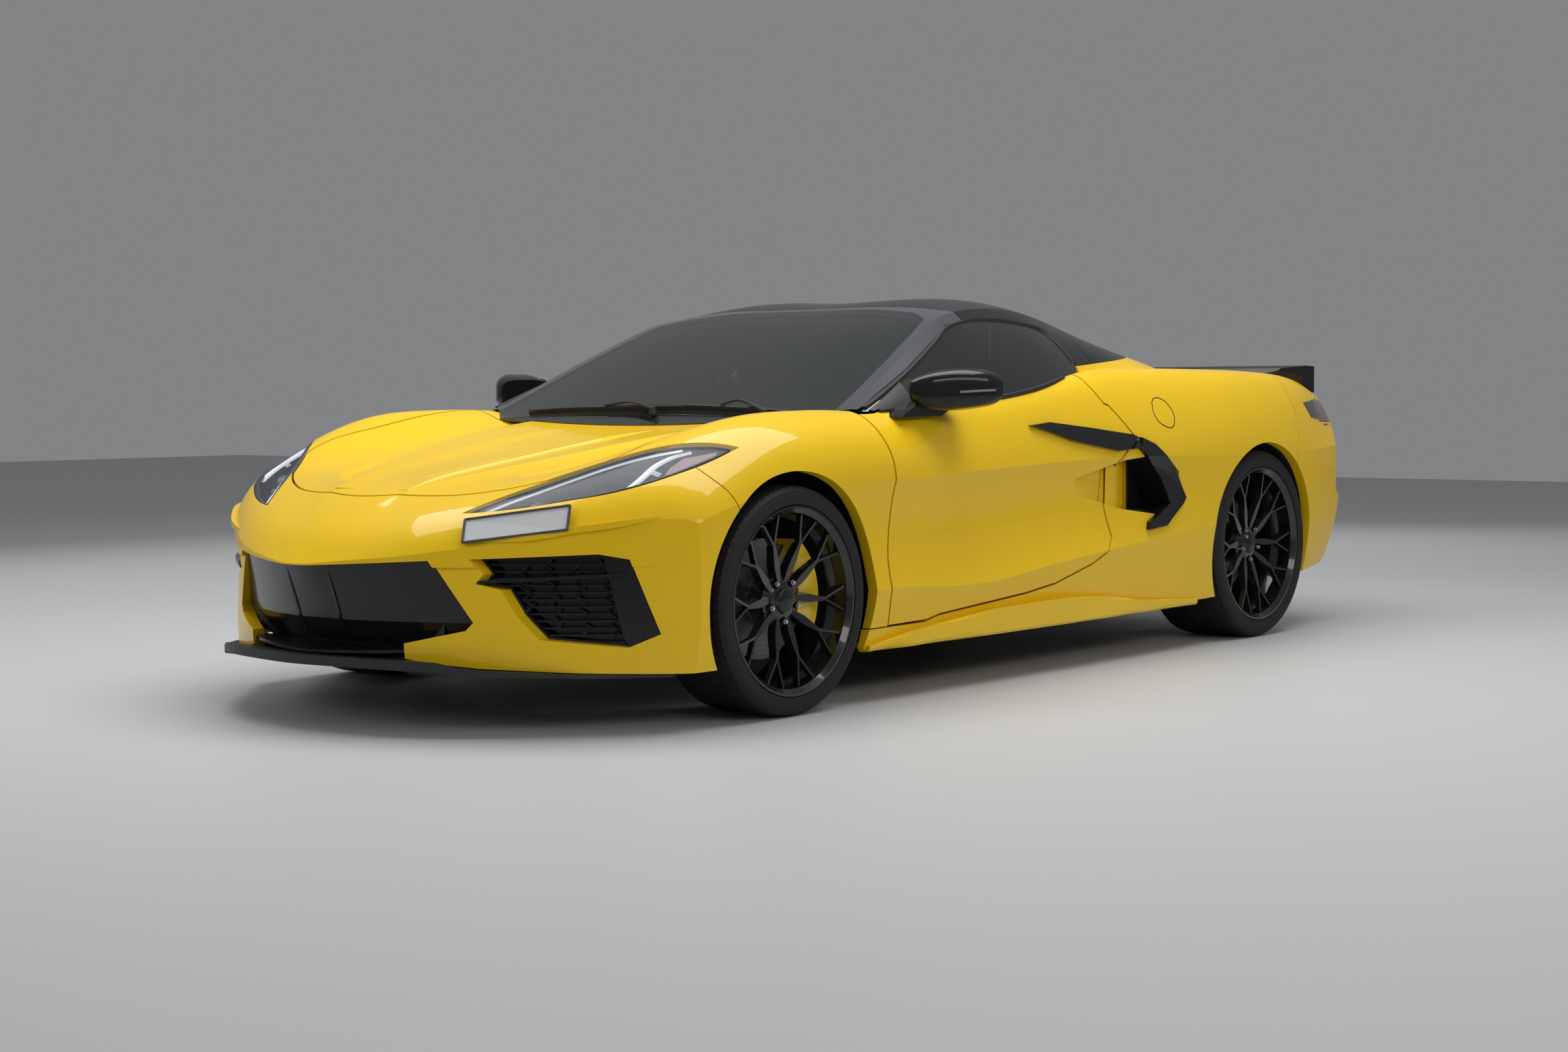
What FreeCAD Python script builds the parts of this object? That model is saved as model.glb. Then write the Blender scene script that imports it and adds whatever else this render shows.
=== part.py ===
"""A mid-engined two-seat coupe car, built as its separate panels, glass, seats, lamps, wheels and steering.

Frame: millimetres, +X to the nose, +Y to the car's left, +Z up. The origin is on the floor, under the middle
of the car's length and width. The body's feature lines are drawn by station, which is the distance behind the
front axle, half width and height, for a car of the drawn wheelbase, overhangs, width and height, and follow
the sheet's values of those sizes.
"""
import FreeCAD, Part
import Sketcher
import math
import os
from FreeCAD import Placement, Rotation, Vector

os.makedirs("parts", exist_ok=True)
doc = FreeCAD.newDocument("CoupeCar")

# Driving dimensions
SIZES = {
    "wheelbase": 2723, "front_overhang": 1037, "rear_overhang": 870,
    "body_width": 1934, "body_height": 1234,
    "front_track": 1648, "rear_track": 1586,
    "front_tyre_diameter": 654, "front_tyre_width": 245, "front_rim_diameter": 538,
    "rear_tyre_diameter": 691, "rear_tyre_width": 305, "rear_rim_diameter": 562,
    "front_arch_gap": 40, "rear_arch_gap": 28, "lock_gap": 83, "liner_wall": 5,
    "front_well_inner": 510, "rear_well_inner": 600,
    "splitter_wall": 26, "grille_wall": 8, "seat_gap": 0.3, "intake_depth": 74,
    "slat_pitch": 19, "slat_wall": 5,
    "panel_wall": 34, "roof_wall": 34, "glass_wall": 6, "panel_gap": 7, "seam_gap": 4, "lamp_depth": 80,
    "lamp_wall": 6, "duct_wall": 8,
    "cabin_half_width": 790,
    "disc_wall": 26, "front_disc_diameter": 345, "rear_disc_diameter": 350,
    "front_caliper_angle": 165, "rear_caliper_angle": 25, "caliper_span": 84,
    "hub_radius": 76, "hub_bore": 32, "stub_clearance": 0.05, "kingpin_offset": 104, "arm_spread": 150,
    "floor_height": 150, "floor_wall": 20,
    "steering_wheel_diameter": 360, "steering_grip": 30, "steering_tilt": 25,
    "tip_radius": 46, "tip_wall": 4, "tip_length": 150,
    "engine_length": 620, "engine_width": 560, "engine_height": 520,
    "seat_width": 500, "seat_offset": 370,
    "spoke_count": 10, "spoke_spread": 16, "tine_spread": 8, "spoke_wall": 20,
    "lug_circle": 120, "lug_hole_radius": 9,
}
sheet = doc.addObject("Spreadsheet::Sheet", "Sizes")
for row, (alias, value) in enumerate(SIZES.items(), 1):
    sheet.set(f"A{row}", alias)
    sheet.set(f"B{row}", str(value))
    sheet.setAlias(f"B{row}", alias)
doc.recompute()


class Value(float):
    """A number of the sheet, or one worked out from some, which keeps its formula for expressions."""

    def __new__(cls, number, text):
        value = super().__new__(cls, number)
        value.text = text
        return value

    def joined(self, other, number, sign, swapped=False):
        text = getattr(other, "text", repr(other))
        pair = (text, self.text) if swapped else (self.text, text)
        return Value(number, f"({pair[0]} {sign} {pair[1]})")

    def __add__(self, other):
        return self.joined(other, float(self) + float(other), "+")

    def __radd__(self, other):
        return self.joined(other, float(other) + float(self), "+", True)

    def __sub__(self, other):
        return self.joined(other, float(self) - float(other), "-")

    def __rsub__(self, other):
        return self.joined(other, float(other) - float(self), "-", True)

    def __mul__(self, other):
        return self.joined(other, float(self) * float(other), "*")

    def __rmul__(self, other):
        return self.joined(other, float(other) * float(self), "*", True)

    def __truediv__(self, other):
        return self.joined(other, float(self) / float(other), "/")

    def __neg__(self):
        return Value(-float(self), f"(-{self.text})")


class Sizes:
    """Reads the sheet's cells by name."""

    def __getattr__(self, name):
        return Value(float(getattr(sheet, name)), f"Sizes.{name}")


size = Sizes()

# The drawn car that the feature lines are for
DRAWN_WHEELBASE = 2723
DRAWN_FRONT = 1037
DRAWN_REAR = 870
DRAWN_WIDTH = 1934
DRAWN_HEIGHT = 1234

nose_x = (size.front_overhang + size.wheelbase + size.rear_overhang) / 2
front_axle_x = nose_x - size.front_overhang
rear_axle_x = front_axle_x - size.wheelbase
front_axle_z = size.front_tyre_diameter / 2
rear_axle_z = size.rear_tyre_diameter / 2
front_arch_radius = front_axle_z + size.front_arch_gap
rear_arch_radius = rear_axle_z + size.rear_arch_gap
front_wheel_y = size.front_track / 2
rear_wheel_y = size.rear_track / 2


def along(station):
    """X of a station, in drawn millimetres behind the front axle."""
    if station < 0:
        return front_axle_x - station * size.front_overhang / DRAWN_FRONT
    if station < DRAWN_WHEELBASE:
        return front_axle_x - station * size.wheelbase / DRAWN_WHEELBASE
    return rear_axle_x - (station - DRAWN_WHEELBASE) * size.rear_overhang / DRAWN_REAR


def across(y):
    return y * size.body_width / DRAWN_WIDTH


def up(z):
    return z * size.body_height / DRAWN_HEIGHT


def at(station, y, z):
    """A drawn point as a point of the model."""
    return Vector(along(station), across(y), up(z))


# Shapes from points
def spline(points):
    curve = Part.BSplineCurve()
    curve.interpolate(points)
    return curve.toShape()


def closed(points):
    return Part.makePolygon(points + points[:1])


def prism(points, direction):
    return Part.Face(closed(points)).extrude(direction)


def block(low, high):
    """A box between two corners."""
    return Part.makeBox(high.x - low.x, high.y - low.y, high.z - low.z, low)


def both_sides(shape):
    """A left-hand shape with its right-hand mirror image, as two solids."""
    return Part.makeCompound([shape, mirrored(shape)])


def mirrored(shape):
    return shape.mirror(Vector(0, 0, 0), Vector(0, 1, 0))


def largest(shape):
    """The biggest solid of a shape, without the slivers that a cut can leave."""
    return max(shape.Solids, key=lambda solid: solid.Volume)


def side_prism(outline, low_y, high_y):
    """A side-view outline of (station, z) points, extruded over a stretch of Y."""
    points = [Vector(along(s), low_y, up(z)) for s, z in outline]
    return prism(points, Vector(0, high_y - low_y, 0))


def plan_prism(outline, low_z, high_z):
    """A plan-view outline of (station, y) points, extruded over a stretch of Z."""
    points = [Vector(along(s), across(y), low_z) for s, y in outline]
    return prism(points, Vector(0, 0, high_z - low_z))


def shrunk(outline, distance):
    """A closed (a, b) outline moved inwards by a distance on all sides."""
    count = len(outline)
    area = sum(
        outline[i][0] * outline[(i + 1) % count][1] - outline[(i + 1) % count][0] * outline[i][1]
        for i in range(count)
    )
    turn = 1 if area > 0 else -1
    moved = []
    for i, (a, b) in enumerate(outline):
        before, after = outline[i - 1], outline[(i + 1) % count]
        first = unit(a - before[0], b - before[1])
        second = unit(after[0] - a, after[1] - b)
        normal_one = (-first[1] * turn, first[0] * turn)
        normal_two = (-second[1] * turn, second[0] * turn)
        bisector = unit(normal_one[0] + normal_two[0], normal_one[1] + normal_two[1])
        reach = distance / max(0.35, bisector[0] * normal_one[0] + bisector[1] * normal_one[1])
        moved.append((a + bisector[0] * reach, b + bisector[1] * reach))
    return moved


def unit(a, b):
    length = math.hypot(a, b) or 1
    return a / length, b / length


# Body feature lines: station, half width, height
class Line:
    """A feature line through drawn points, read back at any station."""

    def __init__(self, *points):
        self.curve = Part.BSplineCurve()
        self.curve.interpolate(Points=[Vector(*p) for p in points], Parameters=[p[0] for p in points])
        self.low, self.high = points[0][0], points[-1][0]

    def __call__(self, station):
        point = self.curve.value(min(max(station, self.low), self.high))
        return point.y, point.z


spine = Line(
    (-1060, 0, 424), (-1014, 0, 462), (-955, 0, 525), (-884, 0, 577), (-790, 0, 628), (-585, 0, 683),
    (-300, 0, 728), (0, 0, 774), (360, 0, 816), (800, 0, 852), (1500, 0, 893), (1900, 0, 932),
    (2617, 0, 952), (3220, 0, 942), (3640, 0, 918),
)
crease = Line(
    (-1060, 10, 423), (-1014, 24, 461), (-955, 50, 521), (-884, 90, 571), (-790, 132, 624),
    (-585, 225, 686), (-300, 330, 737), (0, 400, 785), (360, 450, 825), (800, 470, 852), (1500, 455, 893),
    (1900, 450, 935), (2617, 450, 955), (3220, 450, 943), (3640, 450, 916),
)
valley = Line(
    (-1060, 20, 421), (-1014, 48, 458), (-955, 98, 514), (-884, 178, 559), (-790, 262, 606),
    (-585, 430, 674), (-300, 560, 744), (0, 608, 798), (360, 642, 830), (800, 655, 850), (1500, 640, 893),
    (1900, 640, 940), (2617, 655, 960), (3220, 665, 942), (3640, 650, 905),
)
crown = Line(
    (-1060, 34, 418), (-1014, 74, 454), (-955, 152, 503), (-884, 268, 545), (-790, 380, 590),
    (-585, 548, 674), (-300, 716, 782), (0, 786, 850), (200, 794, 859), (360, 800, 858), (467, 812, 852),
    (700, 838, 862), (1000, 852, 877), (1300, 846, 904), (1600, 808, 956), (1850, 782, 985),
    (2250, 800, 986), (2664, 832, 978), (2937, 842, 967), (3220, 832, 936), (3420, 800, 890),
    (3640, 770, 850),
)
shoulder = Line(
    (-1060, 47, 414), (-1014, 103, 449), (-955, 216, 486), (-884, 352, 516), (-790, 500, 548),
    (-585, 742, 622), (-465, 832, 662), (-300, 882, 706), (0, 906, 776), (200, 908, 790), (360, 902, 795),
    (467, 898, 796), (1000, 908, 790), (1600, 900, 835), (2250, 908, 868), (2723, 926, 862),
    (3100, 915, 840), (3420, 862, 800), (3640, 825, 770),
)
side = Line(
    (-1060, 60, 408), (-1014, 132, 445), (-955, 268, 461), (-884, 417, 467), (-790, 566, 471),
    (-690, 704, 478), (-585, 816, 486), (-500, 884, 512), (-409, 936, 562), (-300, 951, 600),
    (0, 958, 640), (350, 953, 650), (700, 944, 660), (1300, 938, 680), (1900, 950, 688), (2300, 962, 680),
    (2723, 967, 675), (3000, 962, 680), (3250, 938, 690), (3420, 905, 700), (3640, 850, 700),
)
waist = Line(
    (-1060, 500, 370), (-884, 720, 385), (-585, 905, 400), (-409, 940, 415), (-200, 953, 430),
    (200, 952, 450), (467, 932, 478), (800, 915, 500), (1300, 908, 512), (1700, 920, 520),
    (2250, 952, 520), (2723, 962, 505), (3050, 956, 500), (3300, 925, 498), (3640, 842, 490),
)
rocker = Line(
    (-1060, 600, 300), (-884, 800, 300), (-585, 930, 300), (-409, 941, 300), (0, 955, 310),
    (467, 951, 334), (900, 944, 316), (1255, 942, 345), (1636, 946, 378), (2250, 955, 424),
    (2723, 960, 440), (3050, 953, 428), (3300, 920, 402), (3640, 838, 372),
)
sill = Line(
    (-1060, 600, 120), (-884, 800, 128), (-585, 915, 140), (-409, 930, 150), (0, 938, 158),
    (467, 922, 160), (1000, 906, 160), (1636, 912, 166), (2250, 930, 168), (2723, 940, 190),
    (3050, 930, 220), (3300, 885, 240), (3640, 800, 268),
)
STATIONS = (
    -1060, -1014, -955, -884, -790, -690, -585, -500, -409, -300, -150, 0, 200, 360, 467, 700, 1000, 1300,
    1600, 1850, 2100, 2400, 2723, 2950, 3150, 3300, 3420, 3530, 3640,
)


def body_section(station, wall):
    """One closed body section in its creased stretches; a wall's inner solid opens it at the bottom."""
    lines = (sill, rocker, waist, side, shoulder, crown, valley, crease, spine)
    half = [(across(y), up(z)) for y, z in (line(station) for line in lines)]
    if wall:
        reach = half[4:]
        scale = [max(0.0, 1 - wall / max(p[0], 1)) if p[0] else 0 for p in half]
        half = [(p[0] * s, p[1]) for p, s in zip(half, scale)]
        half[4:] = [(p[0], z[1] - wall) for p, z in zip(half[4:], reach)]
        half[0] = (half[0][0], half[0][1] - 80)
    x = along(station)
    left = [Vector(x, y, z) for y, z in half]
    right = [Vector(x, -y, z) for y, z in half]
    return Part.Wire([
        Part.makeLine(left[0], left[1]),
        spline(left[1:4]),
        spline(left[3:8]),
        spline([left[7], left[8], right[7]]),
        spline(right[7:2:-1]),
        spline(right[3:0:-1]),
        Part.makeLine(right[1], right[0]),
        Part.makeLine(right[0], left[0]),
    ])


# Plan outline of the nose at the lip and of the tail at several heights
LIP = (
    (-1020, 0), (-1003, 100), (-957, 240), (-884, 391), (-790, 540), (-690, 680), (-585, 795), (-500, 868),
    (-409, 934), (-300, 1000), (0, 1100),
)
TAIL_LEVELS = (
    (60, -210), (225, -158), (271, -95), (360, -48), (442, -14), (496, 0), (528, -28), (640, -30),
    (742, -42), (800, -62), (860, -96), (905, -135), (1400, -135),
)
TAIL = ((3150, 1100), (3260, 985), (3360, 940), (3440, 890), (3500, 820), (3545, 690), (3575, 420), (3593, 0))
LIP_UNDERSIDE = 452
NOSE_RECESS = 22


def nose_outline(z, recess, wall):
    """The nose's plan outline at a height, set back from the lip by a recess that fades to the sides."""
    narrowing = 0.97 if wall else 1
    left = []
    for station, y in LIP:
        setback = recess * max(0, 1 - y / 934)
        left.append(Vector(along(station + setback) - wall, across(y) * narrowing, z))
    right = [Vector(p.x, -p.y, p.z) for p in left[:0:-1]]
    back_left = Vector(along(3700), left[-1].y, z)
    back_right = Vector(along(3700), -left[-1].y, z)
    return Part.Wire([
        spline(right + left),
        Part.makeLine(left[-1], back_left),
        Part.makeLine(back_left, back_right),
        Part.makeLine(back_right, right[0]),
    ])


def nose_cutter(wall):
    """The space behind the nose: full above the lip, and set back under it."""
    recesses = ((60, 45), (235, NOSE_RECESS), (LIP_UNDERSIDE, NOSE_RECESS))
    lower = Part.makeLoft([nose_outline(up(z), recess, wall) for z, recess in recesses], True, True)
    upper = Part.makeLoft([nose_outline(up(z), 0, wall) for z in (LIP_UNDERSIDE, 1400)], True, True)
    return lower.fuse(upper)


def tail_cutter(wall):
    """The space ahead of the tail, whose outline shifts with height."""
    levels = []
    for z, shift in TAIL_LEVELS:
        left = [Vector(along(s + shift) + wall, across(y), up(z)) for s, y in TAIL]
        right = [Vector(p.x, -p.y, p.z) for p in left[-2::-1]]
        front_left = Vector(along(-1200), left[0].y, up(z))
        front_right = Vector(along(-1200), -left[0].y, up(z))
        levels.append(Part.Wire([
            spline(left + right),
            Part.makeLine(right[-1], front_right),
            Part.makeLine(front_right, front_left),
            Part.makeLine(front_left, left[0]),
        ]))
    return Part.makeLoft(levels, True, True)


def body_solid(wall):
    loft = Part.makeLoft([body_section(s, wall) for s in STATIONS], True, False)
    return loft.common(nose_cutter(wall)).common(tail_cutter(wall))


# Greenhouse feature lines
glass_base = Line(
    (200, 680, 770), (456, 806, 834), (800, 838, 862), (1130, 845, 886), (1400, 832, 920), (1600, 802, 955),
    (1850, 772, 960), (2318, 750, 925), (2700, 715, 862), (3000, 690, 800),
)
glass_middle = Line(
    (200, 660, 772), (456, 796, 842), (800, 786, 938), (1130, 745, 1032), (1400, 728, 1066),
    (1600, 712, 1080), (1850, 696, 1060), (2318, 684, 990), (2700, 680, 908), (3000, 670, 840),
)
cantrail = Line(
    (200, 600, 772), (456, 766, 852), (600, 742, 916), (800, 704, 1008), (1000, 658, 1098),
    (1130, 624, 1152), (1287, 602, 1180), (1500, 592, 1190), (1700, 588, 1172), (2007, 586, 1104),
    (2318, 600, 1036), (2617, 632, 964), (2900, 650, 890), (3000, 655, 862),
)
roof_bulge = Line(
    (200, 380, 772), (456, 420, 874), (800, 392, 1028), (1000, 372, 1116), (1214, 352, 1192),
    (1350, 350, 1220), (1500, 350, 1231), (1700, 350, 1218), (1850, 352, 1189), (2318, 400, 1058),
    (2617, 425, 972), (2900, 440, 893), (3000, 445, 865),
)
roof_spine = Line(
    (200, 0, 765), (456, 0, 879), (800, 0, 1033), (1000, 0, 1118), (1214, 0, 1192), (1350, 0, 1216),
    (1500, 0, 1224), (1700, 0, 1212), (1850, 0, 1188), (2318, 0, 1060), (2617, 0, 973), (2900, 0, 893),
    (3000, 0, 865),
)
ROOF_STATIONS = (
    200, 340, 456, 600, 800, 1000, 1130, 1287, 1420, 1560, 1700, 1850, 2080, 2318, 2520, 2700, 2900,
)
ROOF_FLOOR = 640


def roof_section(station, wall):
    lines = (glass_base, glass_middle, cantrail, roof_bulge, roof_spine)
    half = [(across(y), up(z)) for y, z in (line(station) for line in lines)]
    if wall:
        shares = [max(0, 1 - wall / max(y, 1)) for y, z in half]
        half = [(y * share, z) for share, (y, z) in zip(shares, half)]
        half[2:] = [(y, z - wall) for y, z in half[2:]]
    x = along(station)
    floor = up(ROOF_FLOOR) - (wall or 0)
    left = [Vector(x, y, z) for y, z in half]
    right = [Vector(x, -y, z) for y, z in half]
    low_left, low_right = Vector(x, left[0].y, floor), Vector(x, right[0].y, floor)
    return Part.Wire([
        Part.makeLine(low_left, left[0]),
        spline(left[:3]),
        spline([left[2], left[3], left[4], right[3], right[2]]),
        spline(right[2::-1]),
        Part.makeLine(right[0], low_right),
        Part.makeLine(low_right, low_left),
    ])


def roof_solid(wall):
    return Part.makeLoft([roof_section(s, wall) for s in ROOF_STATIONS], True, False)


body = body_solid(0)
body_core = body_solid(size.panel_wall)
body_skin = body.cut(body_core)
lens_core = body_solid(size.glass_wall)
lamp_core = body_solid(size.lamp_depth)
roof = roof_solid(0)
roof_skin = roof.cut(roof_solid(size.roof_wall)).cut(body)
roof_glass = roof.cut(roof_solid(size.glass_wall)).cut(body)

parts = {}


def keep_pair(name, shape, *trims):
    """Stores a left piece and its mirror image as one object, after cutting its trims away."""
    return keep(name, both_sides(shape.cut(list(trims)) if trims else shape))


def keep(name, shape, *trims):
    """Stores a piece's shape as an object of the document, after cutting its trims away."""
    if trims:
        shape = shape.cut(list(trims))
    least = max(solid.Volume for solid in shape.Solids) / 50
    solids = [solid for solid in shape.Solids if solid.Volume > least]
    shape = solids[0] if len(solids) == 1 else Part.makeCompound(solids)
    feature = doc.addObject("Part::Feature", name)
    feature.Shape = shape
    parts[name] = feature
    return shape


# Pieces whose sizes and places are bound to the sheet
def bind(made, field, value):
    """Sets a field to a number, or to the formula that a number of the sheet carries."""
    if hasattr(value, "text"):
        made.setExpression(field, value.text)
    else:
        setattr(made, field, value)


def bound(kind, name, **fields):
    made = doc.addObject(kind, name)
    for field, value in fields.items():
        bind(made, field, value)
    return made


def placed(made, x, y, z, axis=Vector(0, 0, 1), angle=0):
    """Puts an object at a point, turned about an axis, with the formulas of both kept."""
    made.Placement = Placement(Vector(x, y, z), Rotation(axis, float(angle)))
    for letter, value in zip("xyz", (x, y, z)):
        if hasattr(value, "text"):
            made.setExpression(f"Placement.Base.{letter}", value.text)
    if hasattr(angle, "text"):
        made.setExpression("Placement.Rotation.Angle", angle.text)
    return made


def joined(name, *pieces):
    return bound("Part::MultiFuse", name, Shapes=list(pieces))


def cut_from(name, base, tool):
    return bound("Part::Cut", name, Base=base, Tool=tool)


def group(name, *pieces):
    return bound("Part::Compound", name, Links=list(pieces))


def mirror_of(name, source):
    return bound("Part::Mirroring", name, Source=source, Normal=Vector(0, 1, 0))


def across_bar(name, radius, length, x, y, z, **fields):
    """A cylinder along Y from a point."""
    bar = bound("Part::Cylinder", name, Radius=radius, Height=length, **fields)
    return placed(bar, x, y, z, Vector(1, 0, 0), -90)


def keep_object(made):
    """Records an object of the document as a piece, under its own label."""
    parts[made.Label] = made
    return made


def turned_body(name, profile):
    """A body revolved about Y from (radius, offset) corners, each held by the sheet's formulas."""
    made = doc.addObject("PartDesign::Body", name)
    sketch = made.newObject("Sketcher::SketchObject", f"{name}_profile")
    plane = next(item for item in made.Origin.OriginFeatures if item.Role == "YZ_Plane")
    sketch.AttachmentSupport = (plane, [""])
    sketch.MapMode = "FlatFace"
    corners = [Vector(offset, radius, 0) for radius, offset in profile]
    for i, corner in enumerate(corners):
        sketch.addGeometry(Part.LineSegment(corner, corners[(i + 1) % len(corners)]))
    for i in range(len(corners)):
        sketch.addConstraint(Sketcher.Constraint("Coincident", i, 2, (i + 1) % len(corners), 1))
    for i, (radius, offset) in enumerate(profile):
        for kind, value in (("DistanceX", offset), ("DistanceY", radius)):
            if value == 0:
                axis = -1 if kind == "DistanceY" else -2
                sketch.addConstraint(Sketcher.Constraint("PointOnObject", i, 1, axis))
                continue
            index = sketch.addConstraint(Sketcher.Constraint(kind, -1, 1, i, 1, float(value)))
            if hasattr(value, "text"):
                sketch.setExpression(f"Constraints[{index}]", value.text)
    turn = made.newObject("PartDesign::Revolution", f"{name}_turn")
    turn.Profile = sketch
    turn.ReferenceAxis = (sketch, ["H_Axis"])
    turn.Angle = 360
    made.Tip = turn
    return made


# Cutting outlines
def loop_prism(stretches, base, direction, grow=0.0):
    """A prism over a closed plan loop of curved or straight stretches, grown outwards by a gap."""
    loop = [(p.x, p.y) for stretch in stretches for p in stretch[:-1]]
    if grow:
        loop = shrunk(loop, -grow)
    points = [Vector(x, y, base) for x, y in loop]
    edges, start = [], 0
    for stretch in stretches:
        count = len(stretch) - 1
        run = [points[(start + i) % len(points)] for i in range(count + 1)]
        edges.append(Part.makeLine(*run) if count == 1 else spline(run))
        start += count
    return Part.Face(Part.Wire(edges)).extrude(direction)


def slid(points, lean, base):
    """Surface points of (station, y, z), slid down to a base height along a lean."""
    moved = []
    for station, y, z in points:
        height = up(z)
        moved.append(Vector(along(station) - lean * (height - base), across(y), base))
    return moved


HOOD_LEAN = 0.18
HOOD_BASE = 400.0
HOOD_SIDE = (
    (-780, 0, 636), (-752, 160, 634), (-728, 250, 636), (-704, 330, 640), (-664, 412, 650),
    (-610, 496, 668), (-530, 580, 694), (-445, 640, 726), (-340, 668, 760), (-200, 664, 785),
    (0, 680, 806), (200, 720, 842), (380, 748, 856),
)
HOOD_REAR = ((380, 748, 856), (355, 600, 842), (318, 300, 824), (304, 0, 820))
hood_edge = [(s, -y, z) for s, y, z in HOOD_SIDE[:0:-1]] + list(HOOD_SIDE)
hood_back = list(HOOD_REAR) + [(s, -y, z) for s, y, z in HOOD_REAR[-2::-1]]
hood_loop = [slid(hood_edge, HOOD_LEAN, HOOD_BASE), slid(hood_back, HOOD_LEAN, HOOD_BASE)]
hood_rise = Vector(HOOD_LEAN * 700, 0, 700)
hood_prism = loop_prism(hood_loop, HOOD_BASE, hood_rise)
hood_opening = loop_prism(hood_loop, HOOD_BASE, hood_rise, size.panel_gap)

LAMP_INNER = ((-768, 421), (-620, 522), (-465, 632), (-320, 755), (-174, 873))
LAMP_OUTER = (
    (-174, 873), (-270, 867), (-386, 845), (-477, 806), (-561, 738), (-618, 669), (-672, 596), (-721, 518),
    (-768, 421),
)
lamp_loop = [[Vector(along(s), across(y), 0) for s, y in stretch] for stretch in (LAMP_INNER, LAMP_OUTER)]
lamp_rise = Vector(0, 0, up(620))
LAMP_BASE = 500
lamp_left = loop_prism(lamp_loop, up(LAMP_BASE), lamp_rise)
lamp_left_opening = loop_prism(lamp_loop, up(380), lamp_rise, size.seam_gap)
lamp_opening = both_sides(lamp_left_opening)
lamp_slid = []
for stretch in (LAMP_INNER, LAMP_OUTER):
    lamp_slid.append(slid([(s, y, 700) for s, y in stretch], HOOD_LEAN, HOOD_BASE))
hood_lamp_room = both_sides(loop_prism(lamp_slid, HOOD_BASE, hood_rise, size.panel_gap + 3))

DOOR = (
    (446, 224), (441, 420), (467, 654), (452, 770), (445, 840), (445, 880), (1000, 900), (1350, 940),
    (1600, 985), (1655, 985), (1672, 931), (1711, 867), (1737, 859), (1836, 754), (1760, 702), (1683, 649),
    (1659, 530), (1687, 425), (1652, 379), (1560, 342), (1353, 291), (1188, 271), (711, 239), (640, 226),
)
door_opening = side_prism(shrunk(DOOR, -size.panel_gap), 500, 1200)

# Wheel wells
def wheel_drum(axle_x, axle_z, radius, low_y, high_y):
    return Part.makeCylinder(radius, high_y - low_y, Vector(axle_x, low_y, axle_z), Vector(0, 1, 0))


lock_radius = front_axle_z + size.lock_gap
skin_side = across(905)
front_well = wheel_drum(front_axle_x, front_axle_z, lock_radius, size.front_well_inner, skin_side).fuse(
    wheel_drum(front_axle_x, front_axle_z, front_arch_radius, skin_side - 1, 1200)
)
rear_well = wheel_drum(rear_axle_x, rear_axle_z, rear_arch_radius, size.rear_well_inner, 1200)
wells = both_sides(front_well).fuse(both_sides(rear_well))

# Front: bumper, fenders, hood, lamps
NOSE_SEAM = (
    (-1300, 0), (-235, 0), (-235, 560), (-264, 617), (-279, 645), (-310, 680), (-334, 716), (-475, 722),
    (-620, 900), (-1300, 900),
)
NOSE_ZONE = (-1200, 200, -1200, 1200)
INTAKE = (
    (491, 474), (516, 434), (500, 408), (557, 392), (592, 322), (641, 259), (820, 236), (876, 270),
    (824, 472), (767, 487),
)
INTAKE_BLADE = ((768, 487), (824, 472), (876, 270), (820, 236), (806, 262), (776, 440))
WINGLET = (
    (503, 409), (560, 412), (640, 416), (812, 428), (812, 436), (640, 426), (560, 424), (506, 416),
)
MOUTH = (
    (-394, 470), (-492, 304), (-474, 282), (-322, 246), (-322, 0), (322, 0), (322, 246), (474, 282),
    (492, 304), (394, 470), (0, 449),
)


def front_prism(outline, rear_station, front_x):
    """A front-view outline of (y, z) points, extruded along X."""
    low = along(rear_station)
    points = [Vector(low, across(y), up(z)) for y, z in outline]
    return prism(points, Vector(front_x - low, 0, 0))


nose_zone = side_prism(NOSE_SEAM, -1200, 1200)
fender_front = side_prism(shrunk(NOSE_SEAM, -size.seam_gap), -1200, 1200)
intake_hole = both_sides(front_prism(INTAKE, -440, nose_x + 100))
mouth_hole = front_prism(MOUTH, -700, nose_x + 100)
CHIN = (
    (-1200, 0), (-1200, 214), (-1000, 212), (-905, 206), (-878, 194), (-800, 180), (-650, 169), (-440, 162),
    (0, 162), (0, 0),
)
chin = side_prism(CHIN, -1200, 1200)
front_bumper = keep(
    "front_bumper", body_skin.common(nose_zone), hood_opening, lamp_opening, wells, intake_hole, mouth_hole,
    chin,
)
fender_zone = block(Vector(along(470), 100, 0), Vector(nose_x, 1200, 1300))
cowl_zone = block(Vector(along(440), -across(742), up(600)), Vector(along(250), across(742), 1300))
fenders = keep_pair(
    "fenders", body_skin.common(fender_zone), fender_front, hood_opening, lamp_left_opening, door_opening,
    front_well,
    block(Vector(along(500), 0, up(600)), Vector(along(250), across(742), 1300)),
    block(Vector(-3000, 0, 0), Vector(3000, across(700), up(560))),
    block(Vector(along(500), 0, 0), Vector(along(300), 1200, up(217) + size.seam_gap)),
)
hood = keep(
    "hood", body_skin.common(hood_prism), hood_lamp_room,
    block(Vector(-3000, -1200, 0), Vector(3000, 1200, up(560))),
)
cowl = keep(
    "cowl", body_skin.common(cowl_zone), hood_opening, both_sides(door_opening),
    block(Vector(-3000, -1200, 0), Vector(3000, 1200, up(700))),
)
lens_zone = lamp_left.common(body)
headlamp_lenses = keep("headlamp_lenses", both_sides(lens_zone.cut(lens_core)))
lamp_floor = lamp_core.translated(Vector(0, 0, -size.lamp_wall))
pocket_base = up(LAMP_BASE) + size.lamp_wall
lamp_pocket = loop_prism(lamp_loop, pocket_base, lamp_rise, -size.lamp_wall).common(lens_core).cut(lamp_core)
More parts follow.
